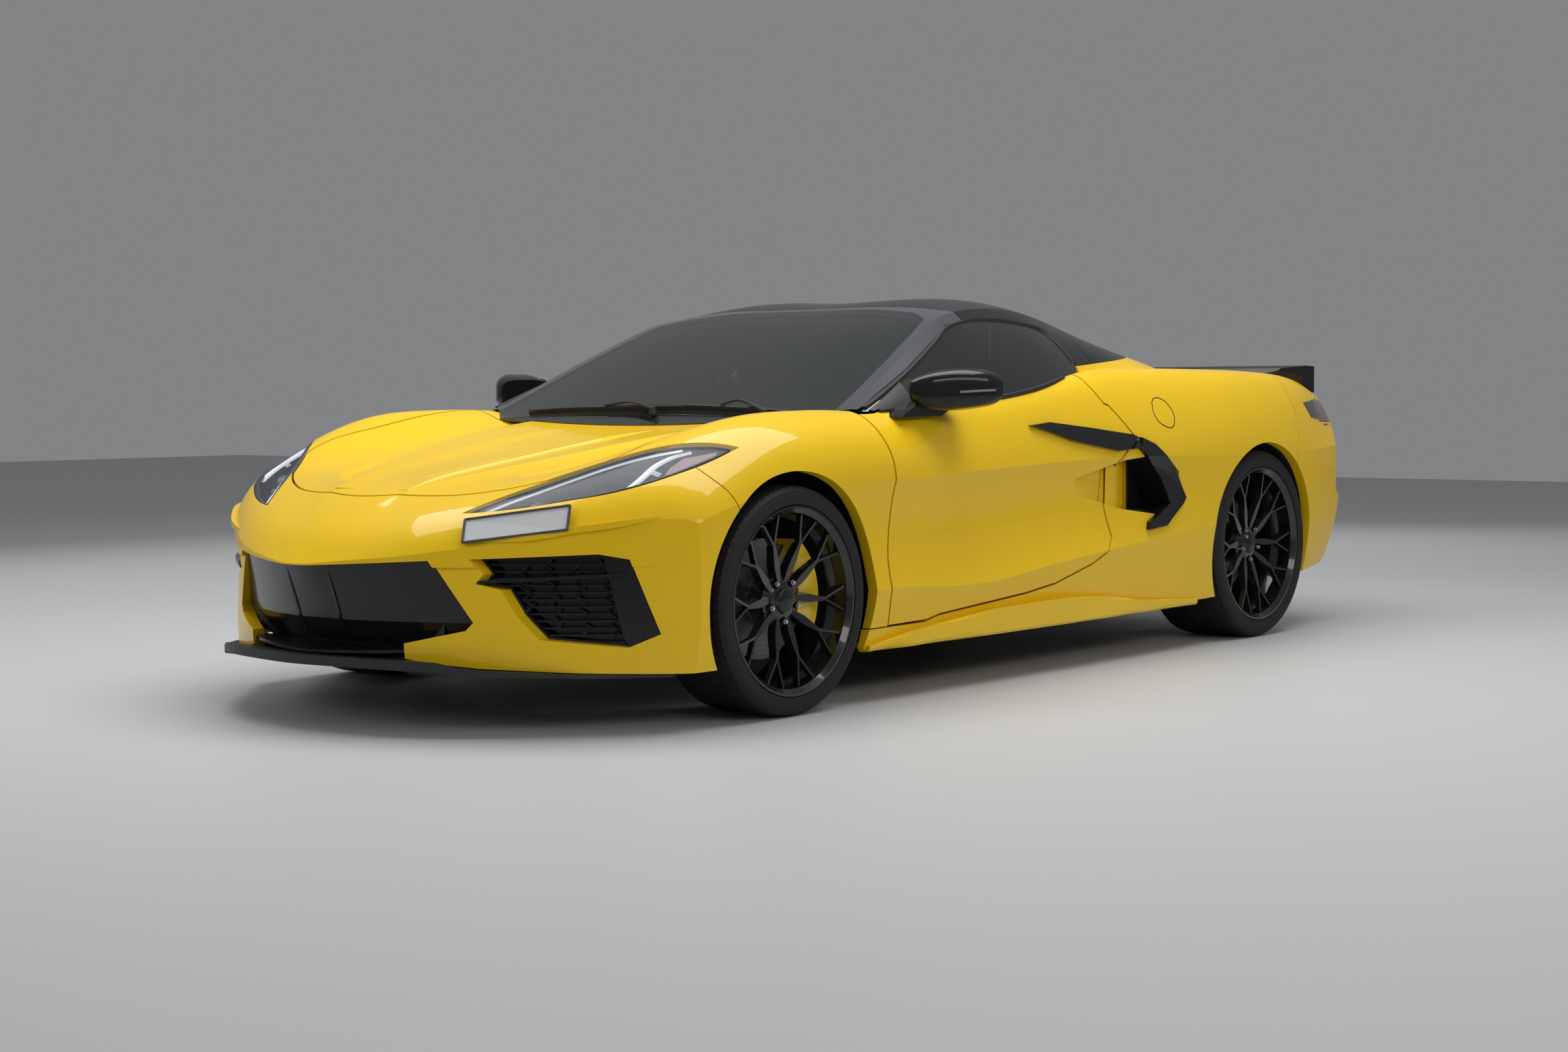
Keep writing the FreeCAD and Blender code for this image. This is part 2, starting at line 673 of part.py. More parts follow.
lamp_shell = lamp_left.common(lens_core).cut(lamp_floor).cut(lamp_pocket)
projectors = []
for station, y, z in ((-642, 556, 592), (-556, 652, 606), (-462, 738, 636)):
    barrel = Part.makeCylinder(26, 60, at(station + 60, y, z), Vector(1, 0, 0.06))
    projectors.append(barrel.common(lamp_pocket))
headlamps = keep("headlamps", both_sides(largest(lamp_shell.multiFuse(projectors).cut(front_well))))

# Front openings: splitter, grilles
SPLITTER = (
    (-1030, 0), (-1012, 150), (-976, 300), (-918, 425), (-835, 548), (-728, 664), (-595, 778), (-440, 880),
)
SPLITTER_DROP = (
    (-1100, 184, 1), (-1000, 182, 1), (-905, 176, 1), (-880, 165, 1), (-800, 162, 0.58), (-650, 156, 0.42),
    (-440, 150, 0.35), (-300, 150, 0.35),
)
splitter_edge = [Vector(along(s), -across(y), 0) for s, y in SPLITTER[:0:-1]]
splitter_edge += [Vector(along(s), across(y), 0) for s, y in SPLITTER]
SPLITTER_BACK = ((-440, 880), (-560, 660), (-700, 0), (-560, -660), (-440, -880))
splitter_back = [Vector(along(s), across(y), 0) for s, y in SPLITTER_BACK]
splitter_loop = [splitter_edge, splitter_back[:2], splitter_back[1:4], splitter_back[3:]]
splitter_side = [(s, z) for s, z, share in SPLITTER_DROP]
splitter_side += [(s, z + size.splitter_wall * share) for s, z, share in SPLITTER_DROP[::-1]]
splitter_slab = side_prism(splitter_side, -1200, 1200)
splitter = keep(
    "splitter", loop_prism(splitter_loop, up(100), Vector(0, 0, up(200))).common(splitter_slab), wells
)


def nose_layer_face(distance):
    face = Part.Face(nose_outline(up(190), NOSE_RECESS, 0))
    return face.translated(Vector(-distance, 0, 0))


def behind_nose(near, far):
    """An upright layer that follows the nose's outline between two distances behind it."""
    rise = Vector(0, 0, up(500) - up(190))
    return nose_layer_face(near).extrude(rise).cut(nose_layer_face(far).extrude(rise))


MASK_SETBACKS = ((100, 175), (232, 150), (300, 92), (480, 26))
mask_front = Part.makeLoft([nose_outline(up(z), setback, 0) for z, setback in MASK_SETBACKS], True, True)
mask = mask_front.cut(mask_front.translated(Vector(-size.grille_wall, 0, 0)))
mouth_inner = front_prism(shrunk(MOUTH, size.seat_gap), -600, nose_x + 100)
mouth_grille = mask.common(mouth_inner)
mouth_grille = mouth_grille.common(block(Vector(0, -900, up(196)), Vector(nose_x, 900, 700)))
tray_side = side_prism(
    ((-1000, 208), (-1000, 216), (-860, 232), (-860, 224)), -across(320), across(320)
)
tray = tray_side.common(nose_layer_face(12).extrude(Vector(0, 0, up(400) - up(190))))
tray = tray.cut(mask_front.translated(Vector(-size.grille_wall, 0, 0)))
mouth_grille = mouth_grille.fuse(tray)

intake_inner = front_prism(shrunk(INTAKE, 1), -440, nose_x + 100)
intake_lining = intake_inner.cut(front_prism(shrunk(INTAKE, 6), -430, nose_x + 120))
slats = []
slat_pitch = size.slat_pitch
height = up(246)
while height < up(484):
    slats.append(block(Vector(0, 0, height), Vector(nose_x, 1000, height + size.slat_wall)))
    height += slat_pitch
slat_room = behind_nose(size.panel_wall + 8, size.intake_depth).common(intake_inner)
slat_set = [slat_room.common(slat) for slat in slats]
intake_plate = behind_nose(size.intake_depth, size.intake_depth + 5).common(intake_inner)
lining = behind_nose(size.panel_wall, size.intake_depth + 5).common(intake_lining)
blade_outline = front_prism(shrunk(INTAKE_BLADE, 1), -440, nose_x + 100)
blade_plate = behind_nose(8, size.intake_depth).common(blade_outline)
winglet = behind_nose(-4, size.intake_depth).common(front_prism(WINGLET, -440, nose_x + 100))
intake_grille = intake_plate.multiFuse(slat_set + [lining, blade_plate, winglet]).cut(front_well)
grilles = keep("grilles", Part.makeCompound([mouth_grille, both_sides(intake_grille)]))

# Sides: doors, sills, quarters
DOOR_INNER = (
    (300, 868), (505, 868), (600, 790), (1520, 790), (1612, 868), (1950, 868), (1950, 300), (300, 300),
)
DOOR_TOP_INNER = ((300, 826), (520, 826), (640, 802), (760, 790), (1950, 790), (1950, 300), (300, 300))
door_box = side_prism(DOOR, 500, 1200).common(body)
door_box = door_box.cut(plan_prism(DOOR_INNER, 0, up(790))).cut(plan_prism(DOOR_TOP_INNER, up(789), 1300))
SILL_STEP = ((400, 100), (400, 240), (640, 242), (711, 255), (1188, 287), (1353, 307), (1353, 100))
door_box = door_box.cut(side_prism(SILL_STEP, 500, across(900)))
door_room = both_sides(door_opening.common(body.translated(Vector(0, 0, size.seam_gap))))
BLADE = (
    (1228, 803), (1338, 812), (1573, 790), (1811, 764), (1935, 730), (2062, 646), (2142, 539), (2127, 519),
    (2015, 446), (1901, 437), (1912, 462), (1944, 477), (2036, 523), (1972, 612), (1842, 718), (1706, 711),
    (1458, 748), (1330, 780),
)
blade_rest = block(Vector(along(2200), across(900), up(400)), Vector(along(1850), across(958), up(760)))
blade_room = body.translated(Vector(0, 14, 0)).fuse(blade_rest)
blade = largest(side_prism(BLADE, across(860), across(975)).common(blade_room))
door_blade_left = keep("door_blade_left", blade.common(side_prism(DOOR, 500, 1300)))
door_blade_right = keep("door_blade_right", mirrored(door_blade_left))
quarter_blade = blade.cut(door_opening)

WINDOW = (
    (448, 836), (600, 899), (800, 977), (1000, 1064), (1130, 1121), (1287, 1146), (1450, 1148),
    (1619, 1132), (1680, 1112), (1708, 1070), (1734, 1000), (1690, 940), (1561, 860), (448, 760),
)
window_glass = roof_glass.common(side_prism(WINDOW, 400, 1200))
door_glass_left = keep("door_glass_left", largest(window_glass), door_box)
door_glass_right = keep("door_glass_right", mirrored(door_glass_left))
SCOOP = ((1480, 918, 560, 640), (1750, 885, 500, 690), (2000, 845, 472, 706), (2110, 826, 480, 640))


def scoop(grow):
    """The side recess that deepens rearwards, as a loft of stations of depth, low and high edge."""
    rings = []
    for station, depth, low, high in SCOOP:
        corners = (
            (1100, low - grow), (1100, high + grow), (depth - grow, high + grow - 18),
            (depth - grow, low - grow + 18),
        )
        rings.append(closed([at(station, y, z) for y, z in corners]))
    return Part.makeLoft(rings, True, True)


side_recess = scoop(0)
duct_zone = block(Vector(along(2110), 700, up(400)), Vector(along(1900), across(915), up(760)))
duct_lining = side_recess.cut(scoop(-size.duct_wall)).common(duct_zone)
side_blades = keep("side_blades", both_sides(largest(quarter_blade.fuse(duct_lining))))
door_left = keep("door_left", largest(door_box.cut(blade).cut(door_glass_left).cut(side_recess)))
door_right = keep("door_right", mirrored(door_left))

MIRROR_RINGS = (
    (882, 622, 858, 872, 962), (930, 640, 872, 856, 978), (990, 702, 878, 862, 982),
    (1030, 762, 878, 872, 972), (1055, 828, 868, 896, 946),
)


def rounded_ring(y, front, back, low, high):
    """A rounded side-view ring at one half width."""
    middle, depth = (front + back) / 2, (back - front) / 2
    centre, height = (low + high) / 2, (high - low) / 2
    points = []
    for step in range(12):
        angle = math.radians(30 * step)
        c, n = math.cos(angle), math.sin(angle)
        swell = 1 / (abs(c) ** 3.4 + abs(n) ** 3.4) ** (1 / 3.4)
        points.append(at(middle + depth * c * swell, y, centre + height * n * swell))
    curve = Part.BSplineCurve()
    curve.interpolate(points, PeriodicFlag=True)
    return Part.Wire(curve.toShape())


mirror_shell = Part.makeLoft([rounded_ring(*ring) for ring in MIRROR_RINGS], True, False)
MIRROR_STALK = ((560, 838), (596, 858), (700, 892), (800, 892), (830, 868), (760, 838))
mirror_stalk = side_prism(MIRROR_STALK, across(812), across(900))
mirror_left = keep("mirror_left", largest(mirror_shell.fuse(mirror_stalk).cut([door_box, window_glass])))
mirror_right = keep("mirror_right", mirrored(mirror_left))

SILL = (
    (330, 0), (330, 217), (640, 217), (711, 232), (1188, 264), (1353, 284), (1560, 335), (1652, 372),
    (1690, 418), (2420, 450), (2420, 0),
)
sill_zone = side_prism(SILL, size.cabin_half_width, 1200)
SKIRT = (
    (336, 946, 172), (551, 955, 203), (957, 958, 236), (1399, 958, 241), (1640, 955, 228), (1900, 950, 196),
    (2250, 944, 178),
)
skirt_rings = []
for station, y, top in SKIRT:
    corners = ((880, 150), (y - 6, 154), (y, 162), (y, top), (y - 16, top - 4), (880, top - 22))
    skirt_rings.append(closed([at(station, *corner) for corner in corners]))
skirt = Part.makeLoft(skirt_rings, True, True)
sill_left = body.common(sill_zone).fuse(skirt.cut(door_opening)).cut([front_well, rear_well, door_opening])
sills = keep("sills", both_sides(sill_left))

# Cabin and structure
floor_top = size.floor_height + size.floor_wall
floor_plate = block(
    Vector(along(3080), -size.cabin_half_width, size.floor_height),
    Vector(along(-640), size.cabin_half_width, floor_top),
).common(body_core)
front_bulkhead = block(
    Vector(along(425), -size.cabin_half_width, floor_top), Vector(along(405), size.cabin_half_width, up(900))
).common(body_core)
rear_bulkhead = block(Vector(along(1765), -1200, floor_top), Vector(along(1745), 1200, up(1000)))
rear_bulkhead = rear_bulkhead.common(body_core)
floor_pan = keep(
    "floor_pan", floor_plate.fuse(front_bulkhead).fuse(rear_bulkhead), wells, sills, splitter,
    both_sides(door_opening),
)

below_liner = block(Vector(-3000, 300, -200), Vector(3000, 1300, up(172)))
front_liner = wheel_drum(front_axle_x, front_axle_z, lock_radius, size.front_well_inner, skin_side)
front_liner = front_liner.cut(wheel_drum(
    front_axle_x, front_axle_z, lock_radius - size.liner_wall, size.front_well_inner + size.liner_wall, 1200
))
rear_liner = wheel_drum(
    rear_axle_x, rear_axle_z, rear_arch_radius + size.liner_wall, size.rear_well_inner - size.liner_wall, 1200
).cut(wheel_drum(rear_axle_x, rear_axle_z, rear_arch_radius, size.rear_well_inner, 1200)).common(body_core)
liners_left = Part.makeCompound([front_liner.cut(below_liner), rear_liner.cut(below_liner)])

DASH = (
    (432, 560), (432, 806), (560, 820), (680, 800), (722, 745), (700, 640), (640, 560),
)
dash_roll = side_prism(DASH, -770, 770).common(body_core.fuse(roof_solid(size.roof_wall)))
console = side_prism(((600, 175), (600, 580), (700, 560), (1010, 420), (1320, 380), (1320, 175)), -120, 120)
dashboard_shape = dash_roll.fuse(console)

SEAT = (
    (1010, 200), (1480, 200), (1560, 400), (1712, 960), (1700, 1035), (1640, 1045), (1600, 960),
    (1450, 440), (1400, 390), (1200, 362), (1010, 402), (985, 310),
)
seat_low = size.seat_offset - size.seat_width / 2
SEAT_FRONT = (
    (-0.5, 150), (0.5, 150), (0.5, 720), (0.42, 860), (0.26, 940), (0.22, 1060), (-0.22, 1060), (-0.26, 940),
    (-0.42, 860), (-0.5, 720),
)
seat_outline = prism(
    [Vector(along(1800), size.seat_offset + size.seat_width * share, up(z)) for share, z in SEAT_FRONT],
    Vector(along(900) - along(1800), 0, 0),
)
seat = side_prism(SEAT, seat_low, seat_low + size.seat_width).common(seat_outline)
seats = keep("seats", both_sides(seat))

# Steering wheel and column
wheel_centre = at(870, 0, 740) + Vector(0, size.seat_offset, 0)
tilt = math.radians(size.steering_tilt)
column = Vector(-math.cos(tilt), 0, math.sin(tilt))
rim_radius = size.steering_wheel_diameter / 2 - size.steering_grip / 2
steering_pieces = [
    bound("Part::Torus", "steering_ring", Radius1=rim_radius, Radius2=size.steering_grip / 2),
    placed(bound("Part::Cylinder", "steering_hub", Radius=55, Height=40), 0, 0, -40),
]
for angle in (-90, 30, 150):
    spoke = bound("Part::Box", f"steering_spoke_{angle + 90}", Length=rim_radius, Width=30, Height=14)
    turn = Rotation(Vector(0, 0, 1), angle)
    spoke.Placement = Placement(turn.multVec(Vector(0, -15, -14)), turn)
    steering_pieces.append(spoke)
steering_wheel = keep_object(placed(
    joined("steering_wheel", *steering_pieces), along(870), size.seat_offset, up(740), Vector(0, -1, 0),
    90 - size.steering_tilt,
))
column_tube = Part.makeCylinder(24, 190, wheel_centre - column * 40.3, -column)
dashboard = keep("dashboard", dashboard_shape.fuse(column_tube), floor_pan, seats, cowl)

# Front trunk and engine
tub = block(at(160, -430, 235), at(-520, 430, 760)).cut(
    block(at(160, -430, 235) + Vector(10, 10, 10), at(-520, 430, 760) + Vector(-10, -10, 10))
)
for y in (-300, 270):
    leg_low = Vector(along(100), y, floor_top + size.seat_gap)
    tub = tub.fuse(block(leg_low, Vector(along(-420), y + 30, up(240))))
front_trunk = keep("front_trunk", tub.common(body_core.translated(Vector(0, 0, -size.seat_gap))))
engine = keep_object(placed(
    bound(
        "Part::Box", "engine", Length=size.engine_length, Width=size.engine_width, Height=size.engine_height
    ),
    along(2480), -size.engine_width / 2, floor_top,
))

# Roof: windscreen frame, windscreen, roof panel, sails, rear deck
SCREEN = (
    (150, 0), (150, 728), (330, 730), (456, 722), (600, 698), (800, 660), (1000, 614), (1110, 580),
    (1168, 500), (1200, 300), (1210, 0),
)
screen_outline = [(s, y) for s, y in SCREEN] + [(s, -y) for s, y in SCREEN[-2:0:-1]]
screen_prism = plan_prism(screen_outline, up(500), up(1400))
HEADER_STATION = 1236
window_opening = both_sides(side_prism(shrunk(WINDOW, -size.panel_gap), 300, 1200))
ahead_of_header = block(Vector(along(HEADER_STATION), -1200, 0), Vector(nose_x, 1200, 1500))
windscreen = keep(
    "windscreen", roof_glass.common(plan_prism(shrunk(screen_outline, 1), up(500), up(1400))), hood_opening
)
windscreen_frame = keep(
    "windscreen_frame", roof_skin.common(ahead_of_header), screen_prism, window_opening, door_room, cowl,
    hood_opening,
)
SAIL_LINE = ((1700, 990), (1734, 1000), (2318, 1037), (2318, 1400), (1700, 1400))
roof_zone = block(Vector(along(1872), -1200, 0), Vector(along(HEADER_STATION) - size.seam_gap, 1200, 1500))
BEHIND_WINDOW = ((1690, 500), (1690, 985), (1734, 996.2), (1900, 1006.7), (1900, 500))
behind_window = side_prism(BEHIND_WINDOW, -1200, 1200)
roof_panel = keep("roof_panel", roof_skin.common(roof_zone), window_opening, door_room, behind_window)
channel = block(Vector(along(2800), -across(300), up(600)), Vector(along(1900), across(300), 1400))
nacelle_wall = both_sides(
    block(Vector(along(2700), across(300), up(900)), Vector(along(1900), across(325), 1400))
)
sail_shape = roof_skin.cut(channel).fuse(nacelle_wall.common(roof).cut(body))
sails = keep("sails", sail_shape.common(side_prism(
    ((1876, 1005.2), (2318, 1033.2), (2318, 1400), (1876, 1400)), -1200, 1200)))
flanks = sail_shape.common(side_prism(
    ((1737, 600), (1737, 996), (2322, 1033), (2322, 1400), (2760, 1400), (2760, 600)), -1200, 1200))
deck_zone = block(Vector(along(2620), -across(690), up(700)), Vector(along(1770), across(690), up(1000)))
deck = body_skin.common(deck_zone)
DECK_LID = ((2632, 0), (2632, 610), (2660, 640), (3240, 640), (3275, 610), (3300, 0))
deck_outline = list(DECK_LID) + [(s, -y) for s, y in DECK_LID[-2:0:-1]]
deck_prism = plan_prism(deck_outline, up(700), up(1200))
deck_opening = plan_prism(shrunk(deck_outline, -size.panel_gap), up(700), up(1200))
tonneau = keep("tonneau", deck.fuse(flanks), both_sides(door_opening), window_opening, sails, deck_opening)
rear_glass_box = block(Vector(along(1897), -across(292), up(960)), Vector(along(1891), across(292), 1400))
rear_window = keep("rear_window", rear_glass_box.common(roof), tonneau, sails)

# Rear: quarters, deck lid, spoiler, bumper, lamps, diffuser, tips
deck_lid = keep("deck_lid", body_skin.common(deck_prism))
quarter_core = block(Vector(along(2632), -across(696), up(600)), Vector(along(1500), across(696), up(1300)))
TAIL_SEAM = (
    (2998, 1100), (2998, 919), (3009, 821), (2982, 715), (2964, 690), (2964, 0), (4000, 0), (4000, 1100),
)
tail_zone = side_prism(TAIL_SEAM, -1200, 1200)
deck_end = block(Vector(along(4000), -across(700), up(858)), Vector(along(2600), across(700), 1300))
recess_wall = scoop(12).common(body_core)
quarter_zone = block(Vector(along(3100), 100, 0), Vector(along(1500), 1200, 1300))
quarters = keep_pair(
    "quarters", body_skin.common(quarter_zone).fuse(recess_wall),
    side_prism(shrunk(TAIL_SEAM, -size.seam_gap), 100, 1200),
    door_opening, rear_well, quarter_core, deck_opening, side_recess, sill_left, blade,
    block(Vector(-3000, 0, 0), Vector(3000, across(700), up(700))), rear_bulkhead,
)
SPOILER = (
    (3292, 900), (3288, 962), (3304, 996), (3340, 1006), (3590, 992), (3594, 976), (3470, 952), (3400, 900),
)
SPOILER_PLAN = (
    (3286, 0), (3286, 560), (3300, 700), (3330, 792), (3400, 806), (3452, 780), (3520, 690), (3562, 420),
    (3590, 0),
)
spoiler_plan = list(SPOILER_PLAN) + [(s, -y) for s, y in SPOILER_PLAN[-2:0:-1]]
spoiler_bar = side_prism(SPOILER, -across(810), across(810))
spoiler_bar = spoiler_bar.common(plan_prism(spoiler_plan, up(800), up(1100)))
spoiler_foot = spoiler_bar.common(deck_prism).cut(body)
spoiler_wing = spoiler_bar.cut(body.translated(Vector(0, 0, size.panel_gap)))
spoiler = keep("spoiler", spoiler_wing.fuse(spoiler_foot))
tip_holes = both_sides(Part.makeCylinder(
    size.tip_radius + size.seat_gap, 400, at(3650, 560, 392), Vector(1, 0, 0)))
TAIL_LAMP = ((440, 786), (452, 850), (600, 862), (900, 872), (960, 860), (960, 800), (840, 778), (600, 772))


def tail_prism(outline):
    points = [Vector(along(3250), across(y), up(z)) for y, z in outline]
    return prism(points, Vector(along(3700) - along(3250), 0, 0))


lamp_holes = both_sides(tail_prism(shrunk(TAIL_LAMP, -size.seam_gap / 2)))
lamp_plugs = both_sides(tail_prism(TAIL_LAMP))
tail_lamps = keep("tail_lamps", body_skin.common(lamp_plugs), spoiler)
diffuser_zone = block(Vector(along(4000), -across(620), 0), Vector(along(2900), across(620), up(330)))
rear_bumper = keep(
    "rear_bumper", body_skin.common(tail_zone), tip_holes, lamp_holes, deck_opening, wells, diffuser_zone,
    spoiler,
)
DIFFUSER = (
    (3080.3, 152), (3260, 196), (3440, 296), (3510, 314), (3500, 325), (3425, 312), (3250, 214),
    (3080.3, 170),
)
diffuser_shape = side_prism(DIFFUSER, -across(560), across(560))
for y in (-480, -240, 0, 240, 480):
    fin = ((3110, 148), (3110, 166), (3260, 205), (3440, 304), (3480, 314), (3450, 185))
    diffuser_shape = diffuser_shape.fuse(side_prism(fin, y - 6, y + 6))
diffuser = keep("diffuser", diffuser_shape)
tips = []
for name, sign in (("left", 1), ("right", -1)):
    tube = bound("Part::Cylinder", f"tip_{name}_tube", Radius=size.tip_radius, Height=size.tip_length)
    bore = bound(
        "Part::Cylinder", f"tip_{name}_bore", Radius=size.tip_radius - size.tip_wall, Height=size.tip_length)
    for piece, station in ((tube, 3545), (bore, 3560)):
        placed(piece, along(station), across(560) * sign, up(392), Vector(0, 1, 0), 90)
    tips.append(cut_from(f"tip_{name}", tube, bore))
exhaust_tips = keep_object(group("exhaust_tips", *tips))

# Wheels
def tyre_profile(radius, rim_radius, half):
    side = (
        (rim_radius - 15, half * 0.86), (rim_radius + 0.3, half * 0.86), (rim_radius + 4, half * 0.98),
        ((radius + rim_radius) / 2, half), (radius - 16, half * 0.975), (radius - 5, half * 0.9),
        (radius, half * 0.74),
    )
    return list(side) + [(r, -w) for r, w in side[::-1]]


def rim_profile(rim_radius, half):
    flange = half * 0.965
    seat = half * 0.86
    return [
        (rim_radius, flange), (rim_radius, seat), (rim_radius - 15, seat), (rim_radius - 16, half * 0.5),
        (rim_radius - 28, half * 0.34), (rim_radius - 28, -half * 0.4), (rim_radius - 16, -half * 0.56),
        (rim_radius - 15, -seat), (rim_radius, -seat), (rim_radius, -flange), (rim_radius - 5, -flange),
        (rim_radius - 21, -seat), (rim_radius - 23, -half * 0.6), (rim_radius - 35, -half * 0.42),
        (rim_radius - 35, half * 0.38), (rim_radius - 23, half * 0.55), (rim_radius - 20, seat),
        (rim_radius - 6, flange),
    ]


def spoke_piece(points, start, end, wall):
    """A tapering bar between two points of the wheel's face, with a narrower front than back."""
    direction = (end - start).normalize()
    sideways = direction.cross(Vector(0, 1, 0)).normalize()
    rings = []
    for point, width, depth in points:
        middle = start + (end - start) * point
        back, front = middle - Vector(0, wall, 0), middle + Vector(0, depth, 0)
        rings.append(closed([
            back - sideways * width * 0.5, front - sideways * width * 0.34,
            front + sideways * width * 0.34, back + sideways * width * 0.5,
        ]))
    return Part.makeLoft(rings, True, True)


def lug_cutter(tag, face):
    """The five stepped lug holes, as cylinders along Y."""
    holes = []
    for index in range(5):
        angle = math.radians(72 * index + 36)
        x, z = size.lug_circle * (0.5 * math.sin(angle)), size.lug_circle * (0.5 * math.cos(angle))
        holes.append(across_bar(f"lug_{tag}_{index}", size.lug_hole_radius, 150, x, -20, z))
        holes.append(across_bar(f"lug_seat_{tag}_{index}", size.lug_hole_radius + 5, 100, x, face - 36, z))
    return joined(f"lugs_{tag}", *holes)


def wheel_spokes(rim_radius, half, face):
    """Slender spokes in pairs, each forked into two tines near the rim."""
    spokes = []
    reach = rim_radius - 24
    for index in range(int(size.spoke_count)):
        pair, which = divmod(index, 2)
        side = 1 if which else -1
        root_angle = math.radians(72 * pair + 36 + side * 24)
        fork_angle = math.radians(72 * pair + 36 + side * size.spoke_spread)
        root = Vector(44 * math.sin(root_angle), face - 34, 44 * math.cos(root_angle))
        fork_radius = rim_radius * 0.62
        fork = Vector(fork_radius * math.sin(fork_angle), face - 12, fork_radius * math.cos(fork_angle))
        stem = ((0, 18, 4), (0.45, 34, 4), (0.62, 32, 4), (1.02, 15, 3))
        spokes.append(spoke_piece(stem, root, fork, size.spoke_wall))
        for offset in (-size.tine_spread, size.tine_spread):
            tip_angle = fork_angle + math.radians(offset)
            tip = Vector(reach * math.sin(tip_angle), half * 0.9 - 12, reach * math.cos(tip_angle))
            spokes.append(spoke_piece(((-0.04, 11, 3), (1.02, 10, 2)), fork, tip, size.spoke_wall * 0.7))
    return spokes


def wheel_parts(tag, x, y, z, tyre_radius, half, rim_radius, disc_radius):
    """Tyre, rim and disc of both wheels of an axle, each turned about the wheel's axis."""
    face = half * 0.8
    barrel = turned_body(f"barrel_{tag}", rim_profile(rim_radius, half))
    hub = turned_body(f"hub_{tag}", (
        (size.hub_bore, 6), (size.hub_radius, 6), (size.hub_radius, face - 40), (52, face - 26),
        (38, face - 24), (34, face - 16), (0, face - 16), (0, face - 44), (size.hub_bore, face - 44)))
    spokes = doc.addObject("Part::Feature", f"spokes_{tag}")
    bars = wheel_spokes(rim_radius, half, face)
    spokes.Shape = bars[0].multiFuse(bars[1:])
    whole = joined(f"wheel_{tag}", barrel, hub, spokes)
    rim = cut_from(f"rim_{tag}_left", whole, lug_cutter(tag, face))
    disc = turned_body(f"disc_{tag}_left", (
        (90, -size.disc_wall - 8), (disc_radius, -size.disc_wall - 8), (disc_radius, -8), (72, -8), (72, 6),
        (size.hub_bore, 6), (size.hub_bore, -14), (90, -14)))
    tyre = turned_body(f"tyre_{tag}_left", tyre_profile(tyre_radius, rim_radius, half))
    for kind, left in (("tyre", tyre), ("rim", rim), ("disc", disc)):
        keep_object(placed(left, x, y, z))
        keep_object(mirror_of(f"{kind}_{tag}_right", left))


front_disc_radius = size.front_disc_diameter / 2
rear_disc_radius = size.rear_disc_diameter / 2
front_rim_radius = size.front_rim_diameter / 2
rear_rim_radius = size.rear_rim_diameter / 2
wheel_parts("front", front_axle_x, front_wheel_y, front_axle_z, front_axle_z, size.front_tyre_width / 2,
            front_rim_radius, front_disc_radius)
wheel_parts("rear", rear_axle_x, rear_wheel_y, rear_axle_z, rear_axle_z, size.rear_tyre_width / 2,
            rear_rim_radius, rear_disc_radius)


# Knuckles, calipers, arms
def upright(name, x, y, z, caliper_angle):
    """A wheel carrier inboard of the disc, with the wheel's stub axle and the caliper's mount."""
    stub = across_bar(f"{name}_stub", size.hub_bore - size.stub_clearance, 96, 0, -60, 0)
    plate = placed(bound("Part::Box", f"{name}_plate", Length=90, Width=70, Height=236), -45, -130, -118)
    mount = placed(
        bound("Part::Box", f"{name}_mount", Length=120, Width=48 - size.seat_gap, Height=64), 30, -104, -32)
    swung = placed(group(f"{name}_swing", mount), 0, 0, 0, Vector(0, -1, 0), caliper_angle)
    return placed(joined(name, stub, plate, swung), x, y, z)


def caliper(name, x, y, z, disc_radius, angle):
    """A sector that straddles the disc's edge, held off the disc by a running gap."""
    sector = across_bar(f"{name}_sector", disc_radius + 26, 96, 0, -56, 0, Angle=size.caliper_span)
    inner = across_bar(f"{name}_inner", disc_radius - 62, 96, 0, -56, 0)
    slot = across_bar(f"{name}_slot", disc_radius + 6, size.disc_wall + 8, 0, -size.disc_wall - 12, 0)
    block_cut = cut_from(f"{name}_cut", sector, joined(f"{name}_tools", inner, slot))
    return placed(
        group(name, block_cut), x, y, z, Vector(0, -1, 0), angle + size.caliper_span / 2)


front_place = (front_axle_x, front_wheel_y, front_axle_z)
rear_place = (rear_axle_x, rear_wheel_y, rear_axle_z)
knuckle_left = keep_object(upright("knuckle_left", *front_place, size.front_caliper_angle))
keep_object(mirror_of("knuckle_right", knuckle_left))
caliper_left = keep_object(caliper(
    "caliper_left", *front_place, size.front_disc_diameter / 2, size.front_caliper_angle))
keep_object(mirror_of("caliper_right", caliper_left))
rear_upright = upright("rear_upright", *rear_place, size.rear_caliper_angle)
rear_caliper = caliper("rear_caliper", *rear_place, size.rear_disc_diameter / 2, size.rear_caliper_angle)
rear_knuckles = keep_object(group(
    "rear_knuckles", rear_upright, mirror_of("rear_upright_right", rear_upright)))
keep_object(group("rear_calipers", rear_caliper, mirror_of("rear_caliper_right", rear_caliper)))
doc.recompute()


def wishbone(x, y, z, inner_y, spread):
    points = [
        Vector(x - spread, inner_y, z), Vector(x - spread + 34, inner_y, z), Vector(x, y - 60, z),
        Vector(x + spread - 34, inner_y, z), Vector(x + spread, inner_y, z), Vector(x + 20, y, z),
        Vector(x - 20, y, z),
    ]
    return prism(points, Vector(0, 0, 24))


